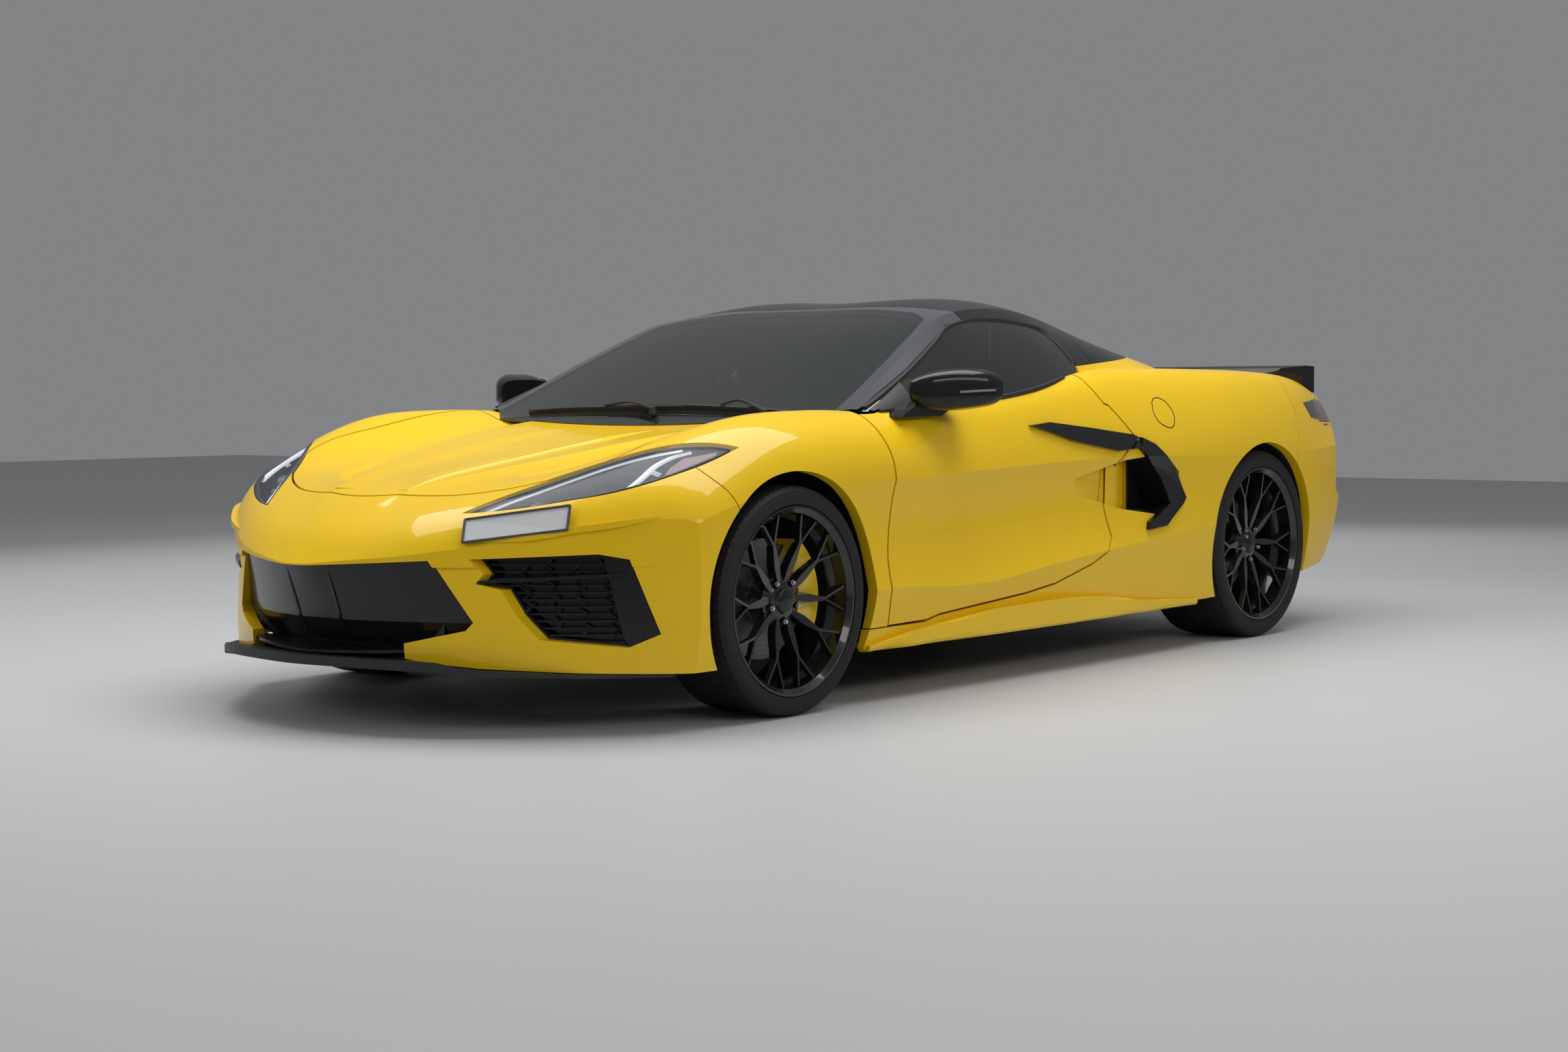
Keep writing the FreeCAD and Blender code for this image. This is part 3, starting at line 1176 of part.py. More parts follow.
arms = []
for x, y, z, inner in (
    (front_axle_x, front_wheel_y - size.kingpin_offset + 20, front_axle_z, across(440)),
    (rear_axle_x, rear_wheel_y - 75, rear_axle_z, across(440)),
):
    arms.append(wishbone(x, y, z + 118 + size.seat_gap, inner, size.arm_spread / 1.4))
    arms.append(wishbone(x, y, z - 142 - size.seat_gap, inner, size.arm_spread))
suspension = keep("suspension", both_sides(Part.makeCompound(arms)), floor_pan, rear_knuckles.Shape)
arch_liners = keep_pair("arch_liners", liners_left, suspension, floor_pan, sill_left)

doc.recompute()
failed = [o.Name for o in doc.Objects if "Invalid" in o.State or "Error" in o.State]
if failed:
    raise RuntimeError(f"these objects failed: {failed}")
for name, feature in parts.items():
    shape = feature.Shape
    if shape.isNull() or not shape.isValid() or not shape.Solids:
        raise RuntimeError(f"{name} has no valid solid")
for name, feature in parts.items():
    feature.Shape.exportStep(f"parts/{name}.step")
    print(name, len(feature.Shape.Solids), round(feature.Shape.Volume / 1e6, 2))
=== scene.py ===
# %% [markdown]
# # A mid-engined coupe car in yellow
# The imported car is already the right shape: every panel, pane, wheel and lamp body is there, in metres, with
# the floor at zero, the nose towards +X and the car's left side towards +Y. This lesson gives each surface its
# finish and adds the parts that are too thin or too fine for the panels: lamp strips, meshes, wipers, trims,
# cushions, stitches and tread. Each step first says what the real thing is, and then why it is made that way.

import math

import bmesh
import bpy
from mathutils import Matrix, Vector
from mathutils.bvhtree import BVHTree
from mathutils.kdtree import KDTree


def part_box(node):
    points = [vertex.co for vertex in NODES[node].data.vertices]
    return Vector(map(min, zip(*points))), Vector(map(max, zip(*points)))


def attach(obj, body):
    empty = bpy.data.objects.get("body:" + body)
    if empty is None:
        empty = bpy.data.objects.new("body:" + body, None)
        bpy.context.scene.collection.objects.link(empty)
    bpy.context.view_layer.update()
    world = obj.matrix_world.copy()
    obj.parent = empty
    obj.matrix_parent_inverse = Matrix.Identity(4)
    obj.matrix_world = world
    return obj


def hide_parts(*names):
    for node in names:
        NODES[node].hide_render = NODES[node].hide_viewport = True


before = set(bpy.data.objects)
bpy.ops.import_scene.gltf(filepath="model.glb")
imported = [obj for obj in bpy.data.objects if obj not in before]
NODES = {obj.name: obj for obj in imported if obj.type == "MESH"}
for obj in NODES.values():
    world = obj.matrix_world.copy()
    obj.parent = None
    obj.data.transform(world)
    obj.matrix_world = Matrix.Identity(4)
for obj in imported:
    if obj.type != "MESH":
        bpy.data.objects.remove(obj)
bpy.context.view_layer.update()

# %% [markdown]
# ## Where things are
# The body was drawn by station, the distance behind the front axle, so the same numbers are used here: a point
# on the car is its station, its half width and its height in millimetres. Sections of bars, thicknesses and
# offsets are in metres, as Blender has them.

# %% Places on the car
FRONT_AXLE_X = 1.278
SIDES = (("left", 1), ("right", -1))
ENDS = ("front_left", "front_right", "rear_left", "rear_right")


def at(station, y, z):
    """A drawn point, in millimetres, as a point of the scene."""
    return Vector((FRONT_AXLE_X - station / 1000, y / 1000, z / 1000))


print("the front axle is at", at(0, 0, 0).x, "m")

# %% [markdown]
# ## Maths on sockets
# A pattern such as paint flake or a tyre's ribs is a formula on the surface's own coordinates. One small class
# wraps a node's output, so that a formula is written as plain Python and becomes Math nodes.

# %% Socket maths
class Wire:
    """A node's output that Python's operators work on."""

    def __init__(self, tree, socket):
        self.tree = tree
        self.socket = socket

    def maths(self, operation, *others):
        """A Math node fed by this wire and others."""
        return self.tree.node("ShaderNodeMath", {"operation": operation}, [self, *others])

    def __add__(self, other):
        return self.maths("ADD", other)

    def __sub__(self, other):
        return self.maths("SUBTRACT", other)

    def __rsub__(self, other):
        return self.tree.node("ShaderNodeMath", {"operation": "SUBTRACT"}, [other, self])

    def __mul__(self, other):
        return self.maths("MULTIPLY", other)

    def above(self, edge, softness):
        """A mask that is 1 where the value is above the edge."""
        settings = {"interpolation_type": "SMOOTHSTEP"}
        values = {"Value": self, "From Min": edge - softness, "From Max": edge + softness}
        return self.tree.node("ShaderNodeMapRange", settings, values)


# %% [markdown]
# ## Finishes
# A finish is a material with one Principled shader. Its patterns are sized in metres on Object coordinates, so
# they stay put on each part whatever the part's shape is.

# %% Finish class
class Finish:
    """A material with one Principled shader, and short ways to feed it."""

    def __init__(self, name, color, roughness, **settings):
        self.material = bpy.data.materials.new(name)
        self.material.use_nodes = True
        self.nodes = self.material.node_tree.nodes
        self.links = self.material.node_tree.links
        self.shader = self.nodes["Principled BSDF"]
        self.set("Base Color", (*color, 1))
        self.set("Roughness", roughness)
        for key, value in settings.items():
            self.set(key.replace("_", " "), value)

    def feed(self, socket, value):
        """Links a wire to a socket, or sets the socket's own value."""
        if isinstance(value, Wire):
            self.links.new(value.socket, socket)
        else:
            socket.default_value = value

    def set(self, name, value):
        """Feeds a socket of the shader."""
        self.feed(self.shader.inputs[name], value)

    def node(self, kind, settings=None, values=(), output=0):
        """Adds a node: its settings first, then its sockets' values or wires."""
        node = self.nodes.new(kind)
        for key, value in (settings or {}).items():
            setattr(node, key, value)
        for key, value in values.items() if isinstance(values, dict) else enumerate(values):
            self.feed(node.inputs[key], value)
        return Wire(self, node.outputs[output])

    def position(self, size):
        """Object coordinates, counted in steps of a size in metres."""
        raw = self.node("ShaderNodeTexCoord", output=3)
        return self.node("ShaderNodeMapping", {}, {"Vector": raw, "Scale": (1 / size, 1 / size, 1 / size)})

    def axis(self, index):
        """One of the object coordinates as a number."""
        raw = self.node("ShaderNodeTexCoord", output=3)
        return self.node("ShaderNodeSeparateXYZ", {}, [raw], output=index)

    def noise(self, size, detail=2.0):
        """Smooth noise whose lumps are about a size, in metres."""
        values = {"Vector": self.position(size), "Scale": 1.0, "Detail": detail}
        return self.node("ShaderNodeTexNoise", {}, values)

    def cells(self, size, kind="F1"):
        """Distance inside cells of about a size, in metres."""
        return self.node("ShaderNodeTexVoronoi", {"feature": kind}, {"Vector": self.position(size), "Scale": 1.0})

    def mix(self, mask, first, second):
        """A colour between two, by a mask."""
        values = {0: mask, 6: (*first, 1), 7: (*second, 1)}
        return self.node("ShaderNodeMix", {"data_type": "RGBA"}, values, output=2)

    def bump(self, height, depth, strength):
        """Relief from a height pattern, with its depth in metres."""
        values = {"Height": height, "Distance": depth, "Strength": strength}
        self.set("Normal", self.node("ShaderNodeBump", {}, values))


def waves(wire, pitch):
    """A sine along a wire, with one wave in each pitch, in metres."""
    return (wire * (math.tau / pitch)).maths("SINE")


def dress(finish, *names):
    """Gives carried-over parts a finish in all their material slots."""
    for name in names:
        piece = NODES[name]
        if not piece.material_slots:
            piece.data.materials.append(finish.material)
        for place in piece.material_slots:
            place.material = finish.material


# %% [markdown]
# ## Camera
# The picture was taken from low down off the car's front left corner. A camera could be aimed with a Track To
# constraint, but that loses the slight roll. Here its three axes are worked out from yaw, pitch and roll, so that a
# render can be laid over the picture.

# %% Camera
def link(thing):
    """Puts an object into the scene."""
    bpy.context.collection.objects.link(thing)
    return thing


FOCAL_PIXELS, FRAME_PIXELS, SENSOR_MM = 3547.14, 2337, 36
yaw, pitch, roll = (math.radians(angle) for angle in (219.506, -3.2505, -0.3283))
ahead = Vector((math.cos(pitch) * math.cos(yaw), math.cos(pitch) * math.sin(yaw), math.sin(pitch)))
level = ahead.cross(Vector((0, 0, 1))).normalized()
rise = level.cross(ahead)
right = level * math.cos(roll) + rise * math.sin(roll)
top = rise * math.cos(roll) - level * math.sin(roll)
camera_data = bpy.data.cameras.new("camera")
camera_data.sensor_width = SENSOR_MM
camera_data.lens = FOCAL_PIXELS / FRAME_PIXELS * SENSOR_MM
camera = link(bpy.data.objects.new("camera", camera_data))
camera.matrix_world = Matrix((right, top, -ahead)).transposed().to_4x4()
camera.location = (6.4466, 5.1628, 0.9182)
bpy.context.scene.camera = camera
print("camera at", [round(v, 2) for v in camera.location])

# %% [markdown]
# ## Floor
# The car stands on a plain pale floor that runs out far behind it. A curved backdrop would hide the edge, but would
# also catch the car's shade. One flat face is enough: above its far edge one sees the even grey of the room.

# %% Floor
def from_bmesh(bm, name):
    """A scene object from a bmesh, which is freed."""
    mesh = bpy.data.meshes.new(name)
    bm.to_mesh(mesh)
    bm.free()
    return link(bpy.data.objects.new(name, mesh))


FLOOR_CORNERS = ((-16, -24, 0), (24, -24, 0), (24, 24, 0), (-16, 24, 0))
floor_finish = Finish("pale_floor", (0.48, 0.485, 0.495), 0.5)
floor_bm = bmesh.new()
floor_bm.faces.new([floor_bm.verts.new(corner) for corner in FLOOR_CORNERS])
floor = from_bmesh(floor_bm, "floor")
floor.data.materials.append(floor_finish.material)
print("floor corners:", FLOOR_CORNERS)

# %% [markdown]
# ## Light
# A car is photographed under large soft lamps. The big lamp overhead draws the long highlight on the hood and
# fenders, and a low one opens the left flank. Three more only fill the shade, and leave no white patch in the
# lacquer. Their strength is set so that a colour renders about as it is written.

# %% Lamps
def soft_lamp(name, place, target, size, power, mirrored_in_gloss):
    """A rectangular lamp that faces a point."""
    data = bpy.data.lights.new(name, "AREA")
    data.shape = "RECTANGLE"
    data.size, data.size_y = size
    data.energy = power
    lamp = link(bpy.data.objects.new(name, data))
    lamp.location = place
    lamp.rotation_euler = (Vector(target) - Vector(place)).to_track_quat("-Z", "Y").to_euler()
    lamp.visible_glossy = mirrored_in_gloss


soft_lamp("lamp_over", (0.4, 0.3, 4.6), (0, 0, 0), (6.5, 3.2), 300, True)
soft_lamp("lamp_left", (1.5, 6.5, 3.2), (0, 0, 0.5), (7.0, 1.2), 100, True)
soft_lamp("lamp_nose", (7.5, -1.5, 3.0), (0.6, 0, 0.5), (4.5, 2.4), 80, False)
soft_lamp("lamp_rear", (-7.0, -3.0, 3.4), (0, 0, 0.5), (5.0, 2.4), 110, False)
soft_lamp("lamp_right", (0.0, -6.5, 3.2), (0, 0, 0.5), (7.0, 2.4), 90, False)
world = bpy.data.worlds.new("room")
world.use_nodes = True
world.node_tree.nodes["Background"].inputs["Color"].default_value = (0.66, 0.67, 0.69, 1)
world.node_tree.nodes["Background"].inputs["Strength"].default_value = 0.34
bpy.context.scene.world = world
bpy.context.scene.view_settings.view_transform = "Standard"
print("lamps:", len(bpy.data.lights))

# %% [markdown]
# ## Paint
# The body is a deep solid yellow under clear lacquer. A low roughness alone would make the colour itself shine, so
# the gloss comes from the shader's coat, as it does from real lacquer, and the colour under it is duller. A faint
# cloudiness and a fine orange-peel relief keep the large panels from looking like plastic.

# %% Yellow paint
paint = Finish("yellow_paint", (0.78, 0.50, 0.008), 0.4, Coat_Weight=0.5, Coat_Roughness=0.035,
               Specular_IOR_Level=0.1)
paint.set("Base Color", paint.mix(paint.noise(0.35), (0.75, 0.475, 0.006), (0.82, 0.53, 0.010)))
paint.bump(paint.noise(0.004, 1.0), 0.00002, 0.25)
dress(paint, "front_bumper", "fenders", "hood", "door_left", "door_right", "sills", "tonneau", "quarters",
      "deck_lid", "rear_bumper", "cowl")
print("body painted in", paint.material.name)

# %% [markdown]
# ## Black and grey trim
# The grilles, blades, mirrors, roof and spoiler are gloss black over fine metallic flake, and the windscreen
# frame is a lighter metallic grey. Flake is fine noise that brightens the colour where it is high. The parts low
# down are satin black plastic.

# %% Trim finishes
def flaked(name, color, spark, roughness, coat):
    """Dark lacquer over metal flake."""
    finish = Finish(name, color, roughness, Coat_Weight=coat, Coat_Roughness=0.04, Specular_IOR_Level=0.15)
    finish.set("Base Color", finish.mix(finish.noise(0.0022, 0.0).above(0.62, 0.05), color, spark))
    return finish


gloss_black = flaked("gloss_black", (0.006, 0.006, 0.007), (0.014, 0.014, 0.016), 0.25, 0.45)
pillar_grey = flaked("pillar_grey", (0.045, 0.047, 0.052), (0.085, 0.088, 0.095), 0.3, 0.8)
roof_black = flaked("roof_black", (0.009, 0.009, 0.010), (0.020, 0.021, 0.024), 0.3, 0.35)
satin_black = Finish("satin_black", (0.016, 0.016, 0.017), 0.5)
satin_black.set("Roughness", satin_black.noise(0.03) * 0.16 + 0.42)
satin_black.bump(satin_black.cells(0.0016), 0.00008, 0.5)
dress(gloss_black, "grilles", "mirror_left", "mirror_right", "door_blade_left", "door_blade_right", "side_blades",
      "spoiler")
dress(pillar_grey, "windscreen_frame")
dress(roof_black, "roof_panel", "sails")
dress(satin_black, "splitter", "diffuser", "arch_liners", "floor_pan", "front_trunk")
print("dark trims:", [finish.material.name for finish in (gloss_black, pillar_grey, roof_black, satin_black)])

# %% [markdown]
# ## Glass and lamp covers
# Window glass is tinted, and the lamp covers are clear. Transmission would bend light at every pane and needs many
# bounces. Both are thin shells, so they let light straight through by their alpha, and the coat carries the
# reflections.

# %% Glass
tinted = Finish("tinted_glass", (0.012, 0.016, 0.015), 0.03, Coat_Weight=1.0, Coat_Roughness=0.01, Alpha=0.66)
tinted_side = Finish("side_glass", (0.008, 0.010, 0.010), 0.03, Coat_Weight=1.0, Coat_Roughness=0.01, Alpha=0.8)
clear = Finish("clear_cover", (0.35, 0.37, 0.40), 0.02, Coat_Weight=0.8, Coat_Roughness=0.01, Alpha=0.10)
dress(tinted, "windscreen", "rear_window")
dress(tinted_side, "door_glass_left", "door_glass_right")
dress(clear, "headlamp_lenses")
print("panes:", [finish.material.name for finish in (tinted, tinted_side, clear)])

# %% [markdown]
# ## Wheels, brakes and running gear
# The wheels are painted gloss black, the calipers are yellow, and the knuckles and the engine are cast metal. Paint
# is a dark colour with a coat, and bare metal is a Metallic of 1 with a bright colour. The casting's rough skin is
# fine noise in the relief, because its grains are far smaller than any face.

# %% Metals
wheel_black = Finish("wheel_black", (0.007, 0.007, 0.008), 0.25, Coat_Weight=0.8, Coat_Roughness=0.05,
                     Specular_IOR_Level=0.25)
cast_metal = Finish("cast_metal", (0.30, 0.30, 0.31), 0.48, Metallic=1.0)
cast_metal.bump(cast_metal.noise(0.003), 0.0002, 0.4)
dark_arm = Finish("dark_arm", (0.05, 0.05, 0.052), 0.55, Metallic=0.4)
caliper_yellow = Finish("caliper_yellow", (0.80, 0.55, 0.02), 0.3, Coat_Weight=0.8, Coat_Roughness=0.08)
bright_metal = Finish("bright_metal", (0.62, 0.61, 0.60), 0.2, Metallic=1.0)
dress(wheel_black, *[f"rim_{end}" for end in ENDS])
dress(cast_metal, "knuckle_left", "knuckle_right", "rear_knuckles", "engine")
dress(dark_arm, "suspension")
dress(caliper_yellow, "caliper_left", "caliper_right", "rear_calipers")
dress(bright_metal, "exhaust_tips")
print("metals:", [finish.material.name for finish in (wheel_black, cast_metal, dark_arm, bright_metal)])

# %% [markdown]
# ## Tyres and discs
# The tyres are matt rubber with a ribbed tread that slanting sipes cut, and fine rings on the sidewall. The discs
# are cast iron with turned rings. Modelled grooves would take very many faces, and a picture would need unwrapping,
# so all these are formulas on the wheel's own axes: the distance from the axle, the angle round it, and the
# distance along it.

# %% Tread and turned rings
RIB_PITCH, SIDEWALL_PITCH, TREAD_BAND = 0.044, 0.011, 0.006
SIPES, SIPE_SLANT = 76, 60
TURNING_PITCH, WEAR_PITCH = 0.0011, 0.016


def wheel_size(end):
    """A wheel's centre, half its width and its outer radius, as its tyre has them."""
    low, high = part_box(f"tyre_{end}")
    return (low + high) / 2, (high.y - low.y) / 2, (high.z - low.z) / 2


def from_axle(finish, centre):
    """A wheel's own axes as wires: across, up, away from the axle, and along it."""
    x = finish.axis(0) - centre.x
    z = finish.axis(2) - centre.z
    radius = (x * x + z * z).maths("POWER", 0.5)
    return x, z, radius, finish.axis(1) - centre.y


for end in ENDS:
    centre, _, outer = wheel_size(end)
    rubber = Finish(f"tyre_rubber_{end}", (0.010, 0.010, 0.011), 0.62, Specular_IOR_Level=0.3)
    x, z, radius, sideways = from_axle(rubber, centre)
    ribs = (sideways.maths("ABSOLUTE") * (math.tau / RIB_PITCH)).maths("COSINE")
    sipes = (x.maths("ARCTAN2", z) * SIPES + sideways * SIPE_SLANT).maths("SINE").above(0.86, 0.1)
    grooves = ribs.above(0.8, 0.12).maths("MAXIMUM", sipes)
    tread = radius.above(outer - TREAD_BAND, TREAD_BAND / 2)
    rubber.bump((1 - grooves * tread) + waves(radius, SIDEWALL_PITCH) * (1 - tread) * 0.06, 0.004, 0.9)
    rubber.set("Roughness", rubber.noise(0.05) * 0.15 + 0.55)
    dress(rubber, f"tyre_{end}")
    iron = Finish(f"disc_iron_{end}", (0.20, 0.20, 0.205), 0.34, Metallic=1.0)
    radius = from_axle(iron, centre)[2]
    iron.bump(waves(radius, TURNING_PITCH), 0.00003, 0.5)
    iron.set("Roughness", waves(radius, WEAR_PITCH) * 0.05 + 0.36)
    dress(iron, f"disc_{end}")
print("wheels dressed")

# %% [markdown]
# ## Cabin and lamp bodies
# Through the glass one sees a black cabin: grained panels and leather seats. The grain of both is made of cells, as
# the creases in real leather are: sharp ones for the panels and softened ones for the leather. The headlamps'
# bodies behind the clear covers are dark grey, and the tail lamps are red with fine ridges, whose shade is painted
# into the red as dark waves.

# %% Cabin and lamp finishes
LAMP_RIDGE_PITCH = 0.008
cabin_black = Finish("cabin_black", (0.02, 0.02, 0.021), 0.62)
cabin_black.bump(cabin_black.cells(0.0022), 0.00015, 0.6)
leather = Finish("leather_black", (0.028, 0.027, 0.027), 0.46)
leather.bump(leather.cells(0.0035, "SMOOTH_F1"), 0.0003, 0.55)
lamp_grey = Finish("lamp_grey", (0.10, 0.107, 0.125), 0.22, Coat_Weight=0.7)
lamp_dark = Finish("lamp_housing", (0.03, 0.032, 0.035), 0.25, Coat_Weight=0.6)
lamp_red = Finish("lamp_red", (0.25, 0.006, 0.006), 0.08, Coat_Weight=1.0, Coat_Roughness=0.02)
# Painted shade: dark waves between the tail lamps' ridges stand in for the shade in their grooves.
painted_ridge_shade = waves(lamp_red.axis(2), LAMP_RIDGE_PITCH).above(0.3, 0.4)
lamp_red.set("Base Color", lamp_red.mix(painted_ridge_shade, (0.05, 0.002, 0.002), (0.22, 0.006, 0.006)))
dress(cabin_black, "dashboard", "steering_wheel")
dress(leather, "seats")
dress(lamp_grey, "headlamps")
dress(lamp_red, "tail_lamps")
print("finishes:", len(bpy.data.materials))

# %% [markdown]
# ## Making small parts
# Most trims on a car are strips: seals, bezels, wiper arms, slats. Such a strip could be a curve with a bevel, but
# a curve turns its section as it likes. Here a bar is a row of rectangles that are bridged one to the next, so its
# flat side always faces the way that is asked for, and its ends can taper.

# %% Pieces and bars
def ready(bm, name, finish, body="body", soft=True):
    """Turns a bmesh into a finished piece that rides on a body."""
    bmesh.ops.remove_doubles(bm, verts=bm.verts, dist=0.00002)
    bmesh.ops.recalc_face_normals(bm, faces=bm.faces)
    piece = from_bmesh(bm, name)
    piece.data.materials.append(finish.material)
    if soft:
        for polygon in piece.data.polygons:
            polygon.use_smooth = True
        piece.data.set_sharp_from_angle(angle=math.radians(35))
    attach(piece, body)
    return piece


def bar(bm, points, width, height, up=(0, 0, 1), tips=1.0):
    """A rectangular bar swept along points, wide across its run and high along an axis."""
    last = len(points) - 1
    rings = []
    for index, point in enumerate(points):
        run = (points[min(index + 1, last)] - points[max(index - 1, 0)]).normalized()
        share = index / max(1, last)
        swell = tips + (1 - tips) * min(1.0, 5 * share * (1 - share))
        side = run.cross(Vector(up)).normalized() * width * swell / 2
        lift = side.cross(run).normalized() * height * swell / 2
        corners = (point + side + lift, point - side + lift, point - side - lift, point + side - lift)
        rings.append([bm.verts.new(corner) for corner in corners])
    edges = list(bm.faces.new(rings[0]).edges)
    for ring in rings[1:]:
        cap = bm.faces.new(ring[::-1])
        next_edges = list(cap.edges)
        bmesh.ops.bridge_loops(bm, edges=edges + next_edges)
        if ring is not rings[-1]:
            bmesh.ops.delete(bm, geom=[cap], context="FACES_ONLY")
        edges = next_edges


def rails(name, finish, runs, width, height, up=(0, 0, 1), tips=1.0, body="body", soft=True):
    """A piece made of bars of one section, one along each run of points."""
    bm = bmesh.new()
    for run in runs:
        bar(bm, run, width, height, up, tips)
    return ready(bm, name, finish, body, soft)


# %% [markdown]
# ## Easing a line
# A trim's line could be drawn with many points. A few points are easier to read and to correct, so each line is
# given by a few and eased through them.

# %% Easing a line
def smooth_run(points, parts=6):
    """Points eased through a few given ones."""
    run = []
    for index in range(len(points) - 1):
        a = points[max(index - 1, 0)]
        b, c = points[index], points[index + 1]
        d = points[min(index + 2, len(points) - 1)]
        for step in range(parts):
            t = step / parts
            run.append(0.5 * ((2 * b) + (c - a) * t + (2 * a - 5 * b + 4 * c - d) * t * t
                              + (3 * b - a - 3 * c + d) * t ** 3))
    run.append(points[-1])
    return run


# %% [markdown]
# ## Finding the surface
# Trims lie on panels that are curved every way. A Shrinkwrap modifier could press them on, but its nearest points
# slide sideways on a curved panel. A ray shot at the panel's own mesh keeps the drawn line as one sees it from the
# side, from the front or from above, and tells where the surface is.

# %% Dropping points onto panels
DOWN, FORWARD, REARWARD = (0, 0, -1), (1, 0, 0), (-1, 0, 0)
trees = {}


def surface(mesh):
    """A mesh that rays can be shot at."""
    return BVHTree.FromPolygons([v.co for v in mesh.vertices], [p.vertices[:] for p in mesh.polygons])


def drop(node, point, direction, lift=0.0):
    """Where a ray from a point meets a part, lifted off it against the ray."""
    if node not in trees:
        trees[node] = surface(NODES[node].data)
    direction = Vector(direction).normalized()
    hit = trees[node].ray_cast(Vector(point), direction)[0]
    return None if hit is None else hit - direction * lift


def draped(node, points, direction, lift=0.0):
    """Points moved onto a part along a direction, leaving out the ones that miss it."""
    hits = [drop(node, point, direction, lift) for point in points]
    return [hit for hit in hits if hit is not None]


print("the hood's height over the front axle:", round(drop("hood", at(0, 0, 1400), DOWN).z, 3), "m")

# %% [markdown]
# ## Headlamps
# Each lamp lies under a clear cover like a long leaf. A dark bezel runs all round its edge. Along the inner edge
# lies a bright strip, a second light bar curves up across the lamp's wide end, and a dull red side marker fills
# its rear corner. The lines are drawn from above and dropped onto the cover, then sunk under it.

# %% Lines and sheets for the lamps
OVERHEAD = 1400


def overhead(points, sign=1):
    """Points drawn from above, by their stations and half widths."""
    return [at(s, y * sign, OVERHEAD) for s, y in points]


def sheet(name, finish, outline, thickness, body="body", soft=False):
    """A sheet inside an outline."""
    bm = bmesh.new()
    bm.faces.new([bm.verts.new(point) for point in outline])
    bmesh.ops.solidify(bm, geom=bm.faces, thickness=thickness)
    return ready(bm, name, finish, body, soft)


# %% [markdown]
# ## Lamp finishes and lines
# The strips shine a little by themselves, as lit daytime lamps do under studio light. A lamp object inside each
# strip would light the car too, so the strips have a weak emission instead.

# %% Lamp lines
strip_glow = Finish("strip_glow", (0.85, 0.87, 0.9), 0.15, Coat_Weight=1.0)
strip_glow.set("Emission Color", (0.80, 0.86, 0.95, 1))
strip_glow.set("Emission Strength", 0.45)
marker_red = Finish("marker_red", (0.13, 0.008, 0.008), 0.35, Coat_Weight=0.3)
bezel_black = Finish("bezel_black", (0.012, 0.012, 0.013), 0.4)
LAMP_EDGE = (
    (-764, 424), (-690, 474), (-620, 528), (-540, 586), (-465, 640), (-392, 700), (-320, 762), (-250, 820),
    (-186, 866), (-270, 858), (-386, 836), (-477, 797), (-561, 729), (-618, 660), (-672, 588), (-721, 511),
)
STRIP = ((-733, 462), (-672, 502), (-612, 544), (-535, 598), (-459, 652), (-376, 720), (-294, 782))
LIGHT_BAR = ((-516, 768), (-478, 775), (-443, 776), (-393, 772), (-335, 781), (-283, 802))
MARKER_HIGH = ((-378, 812), (-320, 812), (-262, 838), (-226, 850))
MARKER_LOW = ((-418, 822), (-352, 842), (-300, 850), (-236, 856))


def on_cover(points, sink, sign):
    """Plan points dropped onto a lamp's cover and sunk under it."""
    return draped("headlamp_lenses", overhead(points, sign), DOWN, -sink)


outline = [(p.x, p.y) for p in smooth_run([Vector((s, y, 0)) for s, y in LAMP_EDGE], 3)]
for side, sign in SIDES:
    rails(f"headlamp_bezel_{side}", bezel_black, [on_cover(outline + outline[:1], 0.0085, sign)], 0.014, 0.004)
    glow = bmesh.new()
    bar(glow, smooth_run(on_cover(STRIP, 0.016, sign)), 0.013, 0.006)
    bar(glow, smooth_run(on_cover(LIGHT_BAR, 0.018, sign)), 0.017, 0.007)
    _, _, start, end, *_ = on_cover(LIGHT_BAR, 0.014, sign)
    for share in (0.30, 0.42, 0.54):
        spot = start.lerp(end, share)
        bar(glow, [spot, spot + Vector((-0.03, 0.014 * sign, -0.012))], 0.003, 0.003)
    ready(glow, f"headlamp_strips_{side}", strip_glow)
    ring = on_cover(MARKER_HIGH, 0.012, sign) + on_cover(MARKER_LOW, 0.012, sign)[::-1]
    sheet(f"headlamp_marker_{side}", marker_red, ring, 0.004)
print("headlamp pieces made")

# %% [markdown]
# ## Projectors
# Under the light bar stand three round projector units with glassy fronts and thin bright rims. Each front is a
# ball pressed flat along its axis, which curves like a real lens, and each rim is a short open tube.

# %% Projectors
def turned(place, degrees, axis):
    """Where a round part goes: a place, and a turn about an axis."""
    return Matrix.Translation(place) @ Matrix.Rotation(math.radians(degrees), 4, axis)


lens_glass = Finish("lens_glass", (0.25, 0.28, 0.32), 0.04, Coat_Weight=1.0)
for side, sign in SIDES:
    rims = bmesh.new()
    domes = bmesh.new()
    for station, y, z in ((-642, 556, 592), (-556, 652, 606), (-462, 738, 636)):
        place = at(station, y * sign, z)
        turn = turned(place, 90, "Y")
        bmesh.ops.create_cone(rims, segments=40, radius1=0.0285, radius2=0.0285, depth=0.004, matrix=turn)
        bowl = bmesh.ops.create_uvsphere(domes, u_segments=32, v_segments=16, radius=0.024, matrix=turn)["verts"]
        bmesh.ops.scale(domes, verts=bowl, vec=(0.45, 1, 1), space=Matrix.Translation(-place))
    ready(rims, f"headlamp_rims_{side}", bright_metal)
    ready(domes, f"headlamp_domes_{side}", lens_glass)
print("projectors made")

# %% [markdown]
# ## Nose shelf
# Over each intake the bumper has a crisp shelf that fades out towards the fender. It catches light on top and
# throws a thin shadow below. It is a slim painted ledge that grows out of the panel and sinks back into it.

